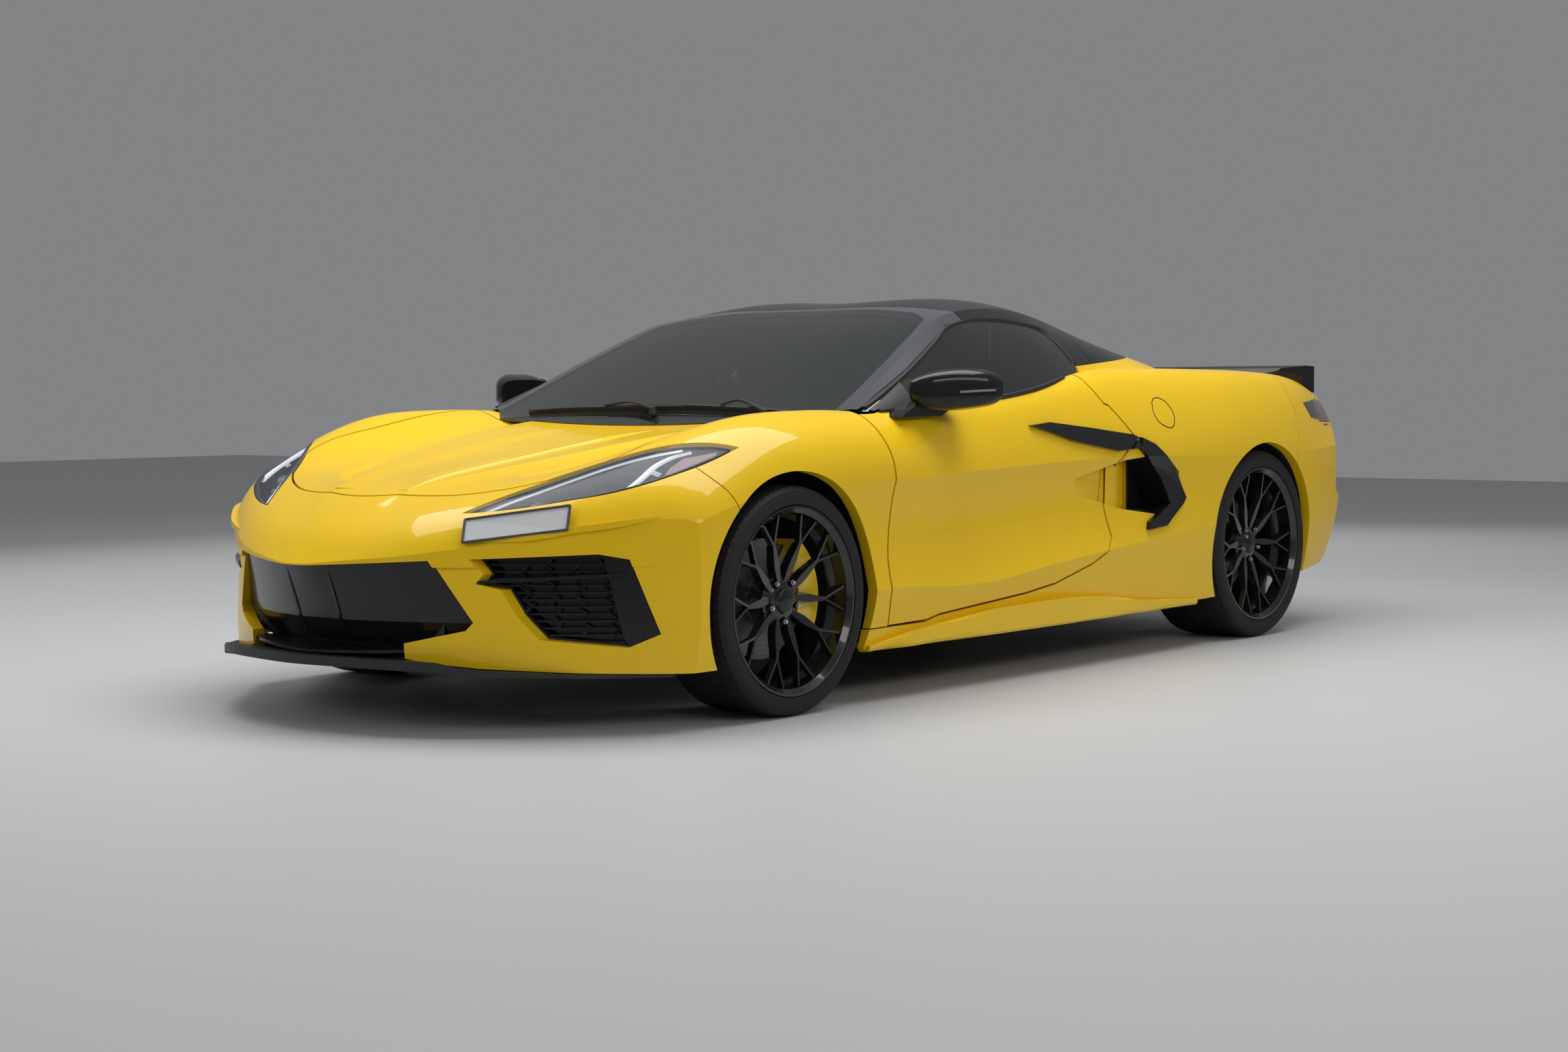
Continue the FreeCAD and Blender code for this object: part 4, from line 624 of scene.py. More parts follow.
# %% Shelf
AHEAD = -1500
SHELF = ((472, 519), (560, 526), (640, 536), (706, 551), (770, 562), (830, 574), (880, 586))
for side, sign in SIDES:
    drawn = smooth_run([at(AHEAD, y * sign, z) for y, z in SHELF], 4)
    rails(f"nose_shelf_{side}", paint, [draped("front_bumper", drawn, REARWARD, -0.010)], 0.040, 0.017, tips=0.15)
print("nose shelf made")

# %% [markdown]
# ## Blank number plates
# A pale plate with a thin dark frame is fixed to the bumper's left half, under the lamp, and another one to the
# tail. A plate is flat even where the bumper is curved, so it is drawn between four corners and not laid on the
# panel. Both are left blank.

# %% Front plate
plate_pale = Finish("plate_pale", (0.55, 0.56, 0.56), 0.35, Coat_Weight=0.4)
plate_pale.bump(plate_pale.noise(0.01), 0.0002, 0.3)
plate_frame = Finish("plate_frame", (0.06, 0.06, 0.06), 0.45)
PLATE_STAND_OFF = 0.019


def plate(name, corners, outwards):
    """A flat blank sheet in a slim frame between four corners, pushed off the panel."""
    outwards = Vector(outwards).normalized()
    corners = [corner + outwards * PLATE_STAND_OFF for corner in corners]
    edges = [[corner, corners[(index + 1) % 4]] for index, corner in enumerate(corners)]
    rails(name + "_frame", plate_frame, edges, 0.006, 0.007, outwards, soft=False)
    sheet(name, plate_pale, corners, 0.003)


plate("front_plate", (at(-789, 448, 573), at(-631, 687, 611), at(-662, 705, 548), at(-822, 472, 514)),
      (0.8, 0.52, 0.3))
print("front plate made")

# %% [markdown]
# ## Intake ribs and mouth ridges
# Behind each intake's slats, upright zigzag ribs give the mesh its honeycomb look. A true honeycomb sheet would be
# cut by the slats in front of it, and bars that swing from side to side look the same from outside. The mouth's
# black mask is folded along two upright ridges. A profile is a short table that is read off on straight lines.

# %% Intake and mouth
NOSE_LINE = ((391, -884), (540, -790), (680, -690), (795, -585), (868, -500), (934, -409))
RIBS = ((590, 330, 462), (648, 282, 470), (706, 270, 474), (764, 262, 476))
RIB_STEP, RIB_SWING, RIB_SET_BACK = 17, 9, 44


def between(value, table):
    """A value read off a table of pairs, on straight lines."""
    for (x0, y0), (x1, y1) in zip(table, table[1:]):
        if value <= x1:
            return y0 + (y1 - y0) * (value - x0) / (x1 - x0)
    return table[-1][1]


def zigzag(column, low, high, sign):
    """A rib from low to high that swings from side to side and follows the nose's outline."""
    run = []
    for step, z in enumerate(range(low, high, RIB_STEP)):
        y = column + (RIB_SWING if step % 2 else -RIB_SWING) - (z - 400) * 0.12
        run.append(at(between(y, NOSE_LINE) + RIB_SET_BACK, y * sign, z))
    return run


for side, sign in SIDES:
    ribs = [zigzag(*rib, sign) for rib in RIBS]
    rails(f"intake_ribs_{side}", satin_black, ribs, 0.006, 0.010, FORWARD, soft=False)
    line = draped("grilles", [at(AHEAD, 86 * sign, z) for z in range(256, 446, 15)], REARWARD)
    rails(f"mouth_ridge_{side}", gloss_black, [line], 0.009, 0.006, FORWARD, 0.3)
print("front openings dressed")

# %% [markdown]
# ## Wheel fittings
# A plain domed cap closes each wheel's centre, five bright nuts sit in their wells around it, and a short valve
# stem stands in the rim. They are placed by radius and angle in the wheel's own plane, and an Array modifier isn't
# needed for five nuts. Each rides on its own wheel, so it turns and steers with it.

# %% Caps, nuts and valves
RIM_EDGE = {"front": 0.058, "rear": 0.0645}
NUT_CIRCLE, VALVE_ANGLE = 0.060, 0.63


def on_wheel(centre, radius, angle, out):
    """A point on a wheel by radius, angle and distance outwards, in metres."""
    return Vector((centre.x + radius * math.sin(angle), centre.y + math.copysign(out, centre.y),
                   centre.z + radius * math.cos(angle)))


for end in ENDS:
    centre, half, outer = wheel_size(end)
    quarter_turn = -90 if centre.y > 0 else 90
    face = half * 0.8
    cap = bmesh.new()
    dome = bmesh.ops.create_uvsphere(cap, u_segments=48, v_segments=24, radius=0.031)["verts"]
    bmesh.ops.scale(cap, verts=dome, vec=(1, 1, 0.16))
    bmesh.ops.transform(cap, verts=dome, matrix=turned(on_wheel(centre, 0, 0, face - 0.0155), quarter_turn, "X"))
    ready(cap, f"wheel_cap_{end}", gloss_black, f"wheel_{end}")
    nuts = bmesh.new()
    for index in range(5):
        angle = math.radians(72 * index + 36)
        for radius, start, depth, sides in ((0.0082, face - 0.040, 0.022, 6), (0.0055, face - 0.018, 0.006, 20)):
            middle = on_wheel(centre, NUT_CIRCLE, angle, start + depth / 2)
            bmesh.ops.create_cone(nuts, cap_ends=True, segments=sides, radius1=radius, radius2=radius * 0.92,
                                  depth=depth, matrix=turned(middle, quarter_turn, "X"))
    ready(nuts, f"wheel_nuts_{end}", bright_metal, f"wheel_{end}", soft=False)
    rim = outer - RIM_EDGE[end.split("_")[0]]
    stem = [on_wheel(centre, rim - inwards, VALVE_ANGLE, half * out) for inwards, out in ((0.026, 0.45), (0.045, 0.72))]
    rails(f"valve_{end}", satin_black, [stem], 0.007, 0.007, (0.3, 0.1, 1), body=f"wheel_{end}", soft=False)
print("wheels fitted")

# %% [markdown]
# ## Wipers
# Two wipers lie parked along the foot of the windscreen: a bent arm from its pivot in the cowl, and a long blade
# with a rubber edge that rests on the glass. A straight blade would dip into the curved glass or stand off it, so
# the blade's points are dropped onto the windscreen one by one.

# %% Wipers
rubber_black = Finish("rubber_black", (0.015, 0.015, 0.015), 0.7)
ALONG_GLASS = (0.4, 0, 1)
for name, pivot, knee, (s0, y0), (s1, y1) in (
    ("a", (372, 60), (410, -70), (398, -520), (412, 170)),
    ("b", (372, 520), (428, 380), (424, -30), (398, 655)),
):
    arm = bmesh.new()
    foot = drop("windscreen", at(400, pivot[1], OVERHEAD), DOWN)
    hub = Vector((at(*pivot, 0).x, foot.y, foot.z + 0.004))
    bmesh.ops.create_cone(arm, cap_ends=True, segments=28, radius1=0.013, radius2=0.010, depth=0.022,
                          matrix=Matrix.Translation(hub))
    elbow = drop("windscreen", at(*knee, OVERHEAD), DOWN, 0.026)
    line = overhead([(s0 + (s1 - s0) * t / 12, y0 + (y1 - y0) * t / 12) for t in range(13)])
    blade = draped("windscreen", line, DOWN, 0.012)
    middle = blade[len(blade) // 2]
    bar(arm, smooth_run([hub + Vector((0, 0, 0.008)), elbow, middle + Vector((0, 0, 0.006))], 5), 0.014, 0.006)
    bar(arm, blade, 0.010, 0.009, ALONG_GLASS, tips=0.5)
    ready(arm, f"wiper_{name}", satin_black)
    edge = draped("windscreen", line, DOWN, 0.004)
    rails(f"wiper_rubber_{name}", rubber_black, [edge], 0.003, 0.008, ALONG_GLASS)
print("wipers made")

# %% [markdown]
# ## Glass borders and weather strips
# The windscreen has a black painted border inside its edge, and the side windows drop into the doors behind a
# soft black strip. The border could be a mask in the glass's finish, but a thin band under the pane keeps a clean
# edge at any distance.

# %% Borders and strips
border = Finish("glass_border", (0.010, 0.010, 0.011), 0.35, Coat_Weight=0.5)
UNDER_GLASS = -0.0095
SCREEN_EDGE = ((402, 690), (456, 690), (600, 668), (800, 632), (1000, 588), (1085, 556), (1140, 470), (1172, 300),
               (1182, 150), (1183, 0))
BELT = ((470, 814), (600, 830), (800, 843), (1000, 848), (1130, 849), (1280, 844), (1400, 836), (1500, 824),
        (1590, 808))
over_edge = smooth_run(overhead(SCREEN_EDGE) + overhead(SCREEN_EDGE[-2::-1], -1), 4)
foot = overhead([(398, y) for y in range(-690, 691, 60)])
painted = [draped("windscreen", line, DOWN, UNDER_GLASS) for line in (over_edge, foot)]
rails("windscreen_border", border, painted, 0.050, 0.0016)
for side, sign in SIDES:
    door = f"door_{side}"
    belt = draped(door, smooth_run(overhead(BELT, sign), 3), DOWN, 0.004)
    rails(f"belt_strip_{side}", rubber_black, [belt], 0.016, 0.012, tips=0.6, body=door)
print("borders and strips made")

# %% [markdown]
# ## Mirrors
# Each mirror has a bright glass set into its rear face with a thin dark rim, and a slim light strip let into its
# outer end. The glass is a rounded rectangle whose corners have no seam, so its outline is one formula, a circle
# that is swollen towards its corners.

# %% Mirror glass and indicator
mirror_silver = Finish("mirror_silver", (0.75, 0.77, 0.8), 0.03, Metallic=1.0)
MIRROR_STATION, MIRROR_Y, MIRROR_Z, ROUNDNESS = 868, 0.968, 0.919, 3.2
BESIDE = 1200


def beside(points, sign=1):
    """Points drawn from the side, by their stations and heights."""
    return [at(s, BESIDE * sign, z) for s, z in points]


def mirror_outline(grow, out, sign):
    """The outline of a mirror's glass, grown and moved back by so many metres."""
    ring = []
    for step in range(40):
        c, n = math.cos(math.tau * step / 40), math.sin(math.tau * step / 40)
        swell = 1 / (abs(c) ** ROUNDNESS + abs(n) ** ROUNDNESS) ** (1 / ROUNDNESS)
        y, z = MIRROR_Y + (0.068 + grow) * c * swell, MIRROR_Z + (0.044 + grow) * n * swell
        ring.append(Vector((at(MIRROR_STATION + out * 1000, 0, 0).x, y * sign, z)))
    return ring


for side, sign in SIDES:
    for name, finish, grow, out in (("rim", rubber_black, 0.004, 0.000), ("glass", mirror_silver, 0.0, 0.003)):
        sheet(f"mirror_{name}_{side}", finish, mirror_outline(grow, out, sign), 0.012, f"door_{side}", soft=True)
    drawn = beside(((716, 912), (750, 914), (790, 916), (826, 917)), sign)
    line = draped(f"mirror_{side}", drawn, (0, -sign, 0), 0.001)
    rails(f"mirror_indicator_{side}", bright_metal, [line], 0.007, 0.004, (0, 1, 0), body=f"door_{side}")
print("mirrors fitted")

# %% [markdown]
# ## Fuel flap
# The left rear shoulder carries a rounded fuel flap, seen as a fine dark shut line. Cutting the panel would gain
# nothing for a gap this fine, so the line is a thin dark bar that lies in the surface.

# %% Fuel flap
FLAP = ((2011, 871), (2034, 884), (2066, 886), (2101, 869), (2120, 834), (2109, 800), (2084, 783), (2051, 786),
        (2013, 803), (1998, 834))
seam = draped("quarters", smooth_run(beside(FLAP + FLAP[:1])), (0, -1, 0), 0.0002)
rails("fuel_flap_seam", rubber_black, [seam], 0.0035, 0.0014, (0, 1, 0))
print("fuel flap drawn")

# %% [markdown]
# ## Skins laid on panels
# Flat trims such as a door card or a dark valance follow the panel under them. Copying the panel's own faces would
# tie the trim's edge to the panel's mesh. A skin starts instead as a grid drawn between four corners, each of its
# points is dropped onto the panel, and the grid then gets a thickness.

# %% Skins
def grid(name, finish, cuts, rule, thickness, body="body"):
    """A thin sheet of squares whose corners a rule places; the corners that get no place are left out."""
    bm = bmesh.new()
    bmesh.ops.create_grid(bm, x_segments=cuts[0], y_segments=cuts[1], size=0.5)
    missed = []
    for vert in bm.verts:
        place = rule(vert.co.x + 0.5, vert.co.y + 0.5)
        if place is None:
            missed.append(vert)
        else:
            vert.co = place
    bmesh.ops.delete(bm, geom=missed, context="VERTS")
    bmesh.ops.solidify(bm, geom=bm.faces, thickness=thickness)
    return ready(bm, name, finish, body)


def skin(name, node, finish, corners, direction, cuts, lift, thickness, body="body"):
    """A thin sheet between four corners, laid on a part along a direction."""
    a, b, c, d = corners
    start = Vector(direction).normalized()

    def rule(across, along):
        return drop(node, a.lerp(b, across).lerp(d.lerp(c, across), along) - start, direction, lift)

    return grid(name, finish, cuts, rule, thickness, body)


# %% [markdown]
# ## Dark backings and corners
# A black triangle closes the door window's front corner behind the mirror. A flat one would dip behind the curved
# glass, so it is a skin. Behind the mouth's mask lies a dark sheet, so that no light comes through from under the
# car; its black is painted shade for the depth of the mouth.

# %% Backings and corners
for side, sign in SIDES:
    corners = beside(((466, 838), (716, 940), (712, 866), (560, 844)), sign)
    skin(f"window_corner_{side}", f"door_glass_{side}", satin_black, corners, (0, -sign, 0), (16, 8), 0.004, 0.004,
         f"door_{side}")
# The mouth's backing is a black sheet: painted shade behind the mask.
wall = [at(-826, y, z) for y, z in (
    (-300, 216), (300, 216), (396, 250), (396, 300), (370, 462), (-370, 462), (-396, 300), (-396, 250))]
sheet("mouth_shade_backing", satin_black, wall, 0.004)
print("corners closed")

# %% [markdown]
# ## Window seals and the way into the side intake
# A black rubber seal runs round each side window and covers the gap to the roof. Behind the door the flank leads
# on into the side intake, so a painted lead-in bridges the gap between the door's edge and the intake's wall. It
# bulges out over the edge of the bulkhead behind it.

# %% Seals and lead-ins
WINDOW_EDGE = ((452, 838), (600, 895), (800, 973), (1000, 1060), (1130, 1117), (1287, 1142), (1450, 1144),
               (1617, 1128), (1677, 1108), (1704, 1068), (1728, 1002))


def lead_point(run, rise, sign):
    """A point of the lead-in, by its shares rearwards and upwards."""
    low, high = 516 - 36 * run, 676 + 20 * run
    bulge = (12 + 10 * rise) * (1 - (2 * run - 0.7) ** 2) if run < 0.85 else 5
    return at(1706 + 170 * run, (889 - 20 * run + bulge) * sign, low + (high - low) * rise)


for side, sign in SIDES:
    line = draped(f"door_glass_{side}", smooth_run(beside(WINDOW_EDGE, sign)), (0, -sign, 0), -0.012)
    rails(f"window_seal_{side}", rubber_black, [line], 0.017, 0.028, (0, 1, 0))
    lead = bmesh.new()
    bmesh.ops.create_grid(lead, x_segments=14, y_segments=8, size=0.5)
    for vert in lead.verts:
        vert.co = lead_point(vert.co.x + 0.5, vert.co.y + 0.5, sign)
    bmesh.ops.solidify(lead, geom=lead.faces, thickness=0.002)
    ready(lead, f"intake_lead_{side}", paint)
print("seals and lead-ins made")

# %% [markdown]
# ## Leather seats
# A bucket seat is a hard shell that carries two leather pads: a cushion dished between its bolsters, and a tall
# backrest whose head part is drawn in. Both shapes are rules for a moulded cube.

# %% Shapes of the pads
def moulded(cuts, rule):
    """A cube cut into small squares, whose corners a rule places."""
    bm = bmesh.new()
    bmesh.ops.create_cube(bm, size=2.0)
    bmesh.ops.subdivide_edges(bm, edges=bm.edges, cuts=cuts, use_grid_fill=True)
    for vert in bm.verts:
        vert.co = rule(*vert.co)
    return bm


SEAT_Y = 370
CUSHION_MIDDLE, CUSHION_REACH, CUSHION_HALF = 1222, 196, 214
BACK_MIDDLE, BACK_REACH = 738, 284
CUSHION_TOP = ((1015, 372), (1100, 352), (1200, 338), (1330, 346), (1425, 372))
BACK_WIDTH = ((430, 205), (640, 222), (740, 216), (860, 180), (930, 112), (975, 92), (1030, 88))
print("a cushion is", 2 * CUSHION_REACH, "mm deep, and a backrest is", 2 * BACK_REACH, "mm tall")


def bolster(v, height):
    """How far a bolster stands up at a share of the half width."""
    return height * max(0.0, abs(v) - 0.5) / 0.5


def back_face(z):
    """The station of the backrest's leaning plane at a height."""
    return 1466 + (z - 440) * 0.30


def cushion_shape(u, v, w):
    """The cushion from front to back (u), side to side (v) and bottom to top (w), in station, width, height."""
    station = CUSHION_MIDDLE + CUSHION_REACH * u * (1 - 0.05 * abs(w) - 0.05 * v * v)
    y = CUSHION_HALF * v * (1 - 0.05 * u * u - 0.03 * abs(w))
    top = between(station, CUSHION_TOP) + bolster(v, 20) - 15 * max(abs(u), abs(v)) ** 6
    return station, y, (top if w > 0 else 268) * abs(w) + 318 * (1 - abs(w))


def backrest_shape(u, v, w):
    """The backrest from bottom to top (u), side to side (v) and back to front (w)."""
    z = BACK_MIDDLE + BACK_REACH * u * (1 - 0.03 * v * v)
    y = between(z, BACK_WIDTH) * v * (1 - 0.04 * abs(w))
    front = back_face(z) + 18 - bolster(v, 17) + 12 * max(abs(u), abs(v)) ** 6
    rear = back_face(z) + 62 - 14 * v * v
    return (front if w > 0 else rear) * abs(w) + (back_face(z) + 42) * (1 - abs(w)), y, z


# %% [markdown]
# ## Sewn lines
# Two long seams run along each pad, and short ones cross between them. A pad is held along these lines while it
# fills out.

# %% Seams
CUSHION_SEAMS = (("y", -108), ("y", 108), ("s", 1150), ("s", 1290))
BACK_SEAMS = (("y", -112), ("y", 112), ("z", 560), ("z", 700), ("z", 840))
print("seams on a cushion and on a backrest:", len(CUSHION_SEAMS), len(BACK_SEAMS))


def seam_point(shape, kind, place, t):
    """A point of a seam, at a share from -1 to 1 along it, on the pad's top face."""
    if kind == "y":
        s, y, z = shape(t, place / CUSHION_HALF, 1.0)
        y = place * (min(1.0, between(z, BACK_WIDTH) / 222) if shape is backrest_shape else 1.0)
    else:
        middle, reach = (CUSHION_MIDDLE, CUSHION_REACH) if kind == "s" else (BACK_MIDDLE, BACK_REACH)
        s, y, z = shape((place - middle) / reach, t * 0.52, 1.0)
    return at(s, y + SEAT_Y, z)


def seam_lines(shape, seams):
    """The sewn lines of a pad."""
    return [[seam_point(shape, kind, place, -0.96 + 1.92 * step / 24) for step in range(25)] for kind, place in seams]


# %% [markdown]
# ## Filling the pads
# Each pad starts a little small, is remeshed evenly, and is then blown up as cloth while its sewn lines are held,
# which gives the leather its crowned panels. A limit keeps the cloth from swelling into what stands beside it.

# %% Pads
EVEN_SIZE, SEAM_REACH, FILL_LIMIT, FILL_FRAMES = 0.0065, 0.0075, 0.012, 20


def applied(piece):
    """Gives a piece the mesh that its modifiers make, and takes them off."""
    mesh = bpy.data.meshes.new_from_object(piece.evaluated_get(bpy.context.evaluated_depsgraph_get()))
    piece.modifiers.clear()
    piece.data = mesh
    return mesh


def refine(piece):
    """Adds one level of smooth subdivision."""
    fine = piece.modifiers.new("fine", "SUBSURF")
    fine.levels = fine.render_levels = 1


# %% [markdown]
# ## Blowing up and smoothing
# The pads could be sculpted, but cloth finds the crowned shape between seams by itself. Its points near a seam are
# put into a group that stays put, and the rest is pushed out by pressure.

# %% Cloth
def near_seams(points, lines):
    """The numbers of the points that lie near a sewn line."""
    stitches = [a.lerp(b, part / 4) for line in lines for a, b in zip(line, line[1:]) for part in range(4)]
    near = KDTree(len(stitches))
    for index, stitch in enumerate(stitches):
        near.insert(stitch, index)
    near.balance()
    return [index for index, point in enumerate(points) if near.find(point)[2] < SEAM_REACH]


def blow_up(blank):
    """Fills a pad with air as cloth that is held along its seams."""
    rest = [vert.co.copy() for vert in blank.data.vertices]
    cloth = blank.modifiers.new("filled", "CLOTH")
    cloth.settings.use_pressure = True
    cloth.settings.uniform_pressure_force = 4
    cloth.settings.effector_weights.gravity = 0
    cloth.settings.quality = 4
    cloth.settings.vertex_group_mass = "sewn"
    cloth.point_cache.frame_end = FILL_FRAMES
    for moment in range(1, FILL_FRAMES + 1):
        bpy.context.scene.frame_set(moment)
    puffed = applied(blank)
    bpy.context.scene.frame_set(1)
    for vert, start in zip(puffed.vertices, rest):
        move = vert.co - start
        if move.length > FILL_LIMIT:
            vert.co = start + move.normalized() * FILL_LIMIT


# %% [markdown]
# ## A whole pad
# The steps follow each other as they would by hand: mould, remesh, mark the seams, blow up, smooth.

# %% A pad
def pad(name, shape, lines):
    """A leather pad: shaped, remeshed, blown up with its seams held, and smoothed once."""
    def rule(u, v, w):
        s, y, z = shape(u, v, w)
        return at(s, y + SEAT_Y, z)

    bm = moulded(13, rule)
    bmesh.ops.recalc_face_normals(bm, faces=bm.faces)
    blank = from_bmesh(bm, name)
    even = blank.modifiers.new("even", "REMESH")
    even.mode = "VOXEL"
    even.voxel_size = EVEN_SIZE
    applied(blank)
    held = blank.vertex_groups.new(name="sewn")
    held.add(near_seams([vert.co for vert in blank.data.vertices], lines), 1.0, "REPLACE")
    blow_up(blank)
    blank.vertex_groups.clear()
    smooth = bmesh.new()
    smooth.from_mesh(blank.data)
    bmesh.ops.smooth_vert(smooth, verts=smooth.verts, factor=0.4, use_axis_x=True, use_axis_y=True, use_axis_z=True)
    smooth.to_mesh(blank.data)
    smooth.free()
    refine(blank)
    for polygon in blank.data.polygons:
        polygon.use_smooth = True
    blank.data.materials.clear()
    blank.data.materials.append(leather.material)
    return blank


# %% [markdown]
# ## Piping, shells and the right seat
# The pads are made once, for the left seat, and copied to the right: a second simulation would give the same shape
# and take as long again. Piping is laid along the two long seams of the finished leather, and a hard shell stands
# behind and under the pads.

# %% Piping and shells
leather_edge = Finish("leather_piping", (0.30, 0.19, 0.012), 0.5)
shell_black = Finish("seat_shell", (0.014, 0.014, 0.015), 0.32, Coat_Weight=0.4)
shell_black.bump(shell_black.cells(0.0012), 0.00005, 0.4)


def laid_on(piece, run, toward, lift):
    """A line moved onto a finished pad."""
    leather_face = surface(piece.data)
    toward = Vector(toward).normalized()
    hits = [leather_face.ray_cast(point - toward * 0.2, toward)[0] for point in run]
    return [hit - toward * lift for hit in hits if hit is not None]


def other_side(piece, name):
    """A copy of a piece on the car's right side."""
    bm = bmesh.new()
    bm.from_mesh(piece.data)
    bmesh.ops.scale(bm, verts=bm.verts, vec=(1, -1, 1))
    bmesh.ops.reverse_faces(bm, faces=bm.faces)
    twin = from_bmesh(bm, name)
    for material in piece.data.materials:
        twin.data.materials.append(material)
    if piece.modifiers:
        refine(twin)
    return twin


def soft_box(bm, low, high, bevel, segments):
    """Adds a box with rounded edges."""
    made = bmesh.ops.create_cube(bm, size=1.0)["verts"]
    bmesh.ops.scale(bm, verts=made, vec=high - low)
    bmesh.ops.translate(bm, verts=made, vec=(low + high) / 2)
    edges = list({edge for vert in made for edge in vert.link_edges})
    bmesh.ops.bevel(bm, geom=edges, offset=bevel, segments=segments, affect="EDGES", profile=0.5, material=-1)


def shell_point(u, v, w, sign):
    """A point of a seat's shell, from bottom to top (u), side to side (v) and front to back (w)."""
    z = 722 + 296 * u
    half = between(z, BACK_WIDTH) + 8
    return at(back_face(z) + 66 + 12 * w - 18 * v * v, half * v * sign + SEAT_Y * sign, z)


# %% [markdown]
# ## Putting the seats together
# The pads stand for the imported seats, which are plain blocks, so these are replaced. Every piece rides on the body.

# %% Seats
seat_pieces = []
for name, shape, seams, toward in (
    ("seat_cushion", cushion_shape, CUSHION_SEAMS, DOWN),
    ("seat_backrest", backrest_shape, BACK_SEAMS, (-1, 0, -0.3)),
):
    lines = seam_lines(shape, seams)
    left = pad(f"{name}_left", shape, lines)
    right = other_side(left, f"{name}_right")
    runs = [laid_on(left, run, toward, 0.0004) for run in lines[:2]]
    piping_left = rails(f"{name}_piping_left", leather_edge, runs, 0.0035, 0.0035, (-0.6, 0, 0.8))
    piping_right = other_side(piping_left, f"{name}_piping_right")
    for piece in (left, right, piping_right):
        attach(piece, "body")
    seat_pieces += [left, right]
for side, sign in SIDES:
    shell = moulded(11, lambda u, v, w: shell_point(u, v, w, sign))
    soft_box(shell, at(1440, SEAT_Y * sign - 200, 203), at(1030, SEAT_Y * sign + 200, 262), 0.018, 3)
    seat_pieces.append(ready(shell, f"seat_shell_{side}", shell_black))
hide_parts("seats")
print("seats:", [(p.name, len(p.data.polygons)) for p in seat_pieces])

# %% [markdown]
# ## Steering wheel
# A driver sees a padded airbag cover on the steering wheel, stitched grips, bright spokes with keys, and two
# shift paddles behind them. The wheel leans back, so they could be made upright and turned. Here they are drawn
# straight in the wheel's own plane, by radius and angle. All of them turn with the wheel.

# %% Steering wheel trim
TILT = math.radians(25)
wheel_point = at(870, 370, 740)
axis_out = Vector((-math.cos(TILT), 0, math.sin(TILT)))
across_dir = Vector((0, 1, 0))
up_dir = axis_out.cross(across_dir) * -1


def on_rim(radius, degrees, out):
    """A point by the steering wheel: radius and angle in its plane, and distance towards the driver."""
    angle = math.radians(degrees)
    return wheel_point + across_dir * radius * math.sin(angle) + up_dir * radius * math.cos(angle) + axis_out * out


def cover_point(u, v, w):
    """A point of the airbag cover, across (u), up (v) and out (w)."""
    crown = 1 - 0.5 * (u ** 4 + v ** 4) / 2
    return (wheel_point + across_dir * 0.072 * u * (1 - 0.10 * v * v) + up_dir * 0.058 * v * (1 - 0.12 * u * u)
            + axis_out * (0.012 + 0.013 * w * crown))


def key(sideways, upwards):
    """A key's run across, by its place on the wheel."""
    spot = wheel_point + across_dir * sideways + up_dir * upwards + axis_out * 0.006
    return [spot - across_dir * 0.010, spot + across_dir * 0.010]


ready(moulded(9, cover_point), "airbag_cover", cabin_black, "steering_wheel")
grips = [[on_rim(0.165, middle + t, 0.0155) for t in range(-26, 27, 4)] for middle in (78, -78)]
rails("grip_stitching", leather_edge, grips, 0.004, 0.0022, axis_out, 0.4, "steering_wheel")
spokes = [[on_rim(r, angle, out) for r, out in ((0.074, 0.003), (0.11, 0.004), (0.148, 0.003))]
          for angle in (90, -90, 180)]
rails("spoke_trim", bright_metal, spokes, 0.020, 0.004, axis_out, 0.6, "steering_wheel")
keys = [key(0.098 * sign, row) for sign in (1, -1) for row in (0.010, -0.010)]
rails("wheel_keys", satin_black, keys, 0.010, 0.006, axis_out, body="steering_wheel", soft=False)
paddles = [smooth_run([on_rim(r, angle * sign, out) for r, angle, out in (
    (0.060, 90, -0.034), (0.105, 84, -0.036), (0.132, 70, -0.034))], 4) for sign in (1, -1)]
rails("shift_paddles", dark_arm, paddles, 0.034, 0.004, axis_out, body="steering_wheel")
print("steering wheel trimmed")

# %% [markdown]
# ## Screen and instruments
# The dash has a dark blank screen in a glossy frame, and a hood over three round instruments. The screen could be a
# picture, but a switched-off one is simply glossy black, so it is a skin with a lacquered finish.

# %% Screen and instruments
def upright(station, y0, y1, high, low):
    """The corners of an upright rectangle across the car."""
    return [at(station, y, z) for y, z in ((y0, high), (y1, high), (y1, low), (y0, low))]


screen_black = Finish("blank_screen", (0.006, 0.007, 0.009), 0.08, Coat_Weight=1.0)
skin("blank_screen", "dashboard", screen_black, upright(730, -112, 92, 742, 655), FORWARD, (20, 10), 0.004, 0.006)
skin("screen_frame", "dashboard", gloss_black, upright(730, -120, 100, 748, 647), FORWARD, (20, 10), 0.002, 0.004)
arch = []
for t in range(13):
    angle = t / 12 * math.pi - math.pi / 2
    arch.append(Vector((at(640, 0, 0).x, 0.370 + 0.118 * math.sin(angle), 0.800 + 0.036 * math.cos(angle))))
rails("instrument_hood", cabin_black, [arch], 0.110, 0.007)
dials = bmesh.new()
for y, radius in ((0.370, 0.047), (0.296, 0.030), (0.444, 0.030)):
    bmesh.ops.create_cone(dials, cap_ends=True, segments=48, radius1=radius, radius2=radius * 0.9, depth=0.014,
                          matrix=turned(Vector((at(704, 0, 0).x, y, 0.772)), -78, "Y"))
ready(dials, "instrument_dials", screen_black)
print("screen and instruments made")

# %% [markdown]
# ## Vents and console
# Each air vent is a short round tube with three slats, seated where a ray from the cabin meets the dash. The
# console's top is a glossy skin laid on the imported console, because its edges then follow the real form, and its
# keys are bare blocks.

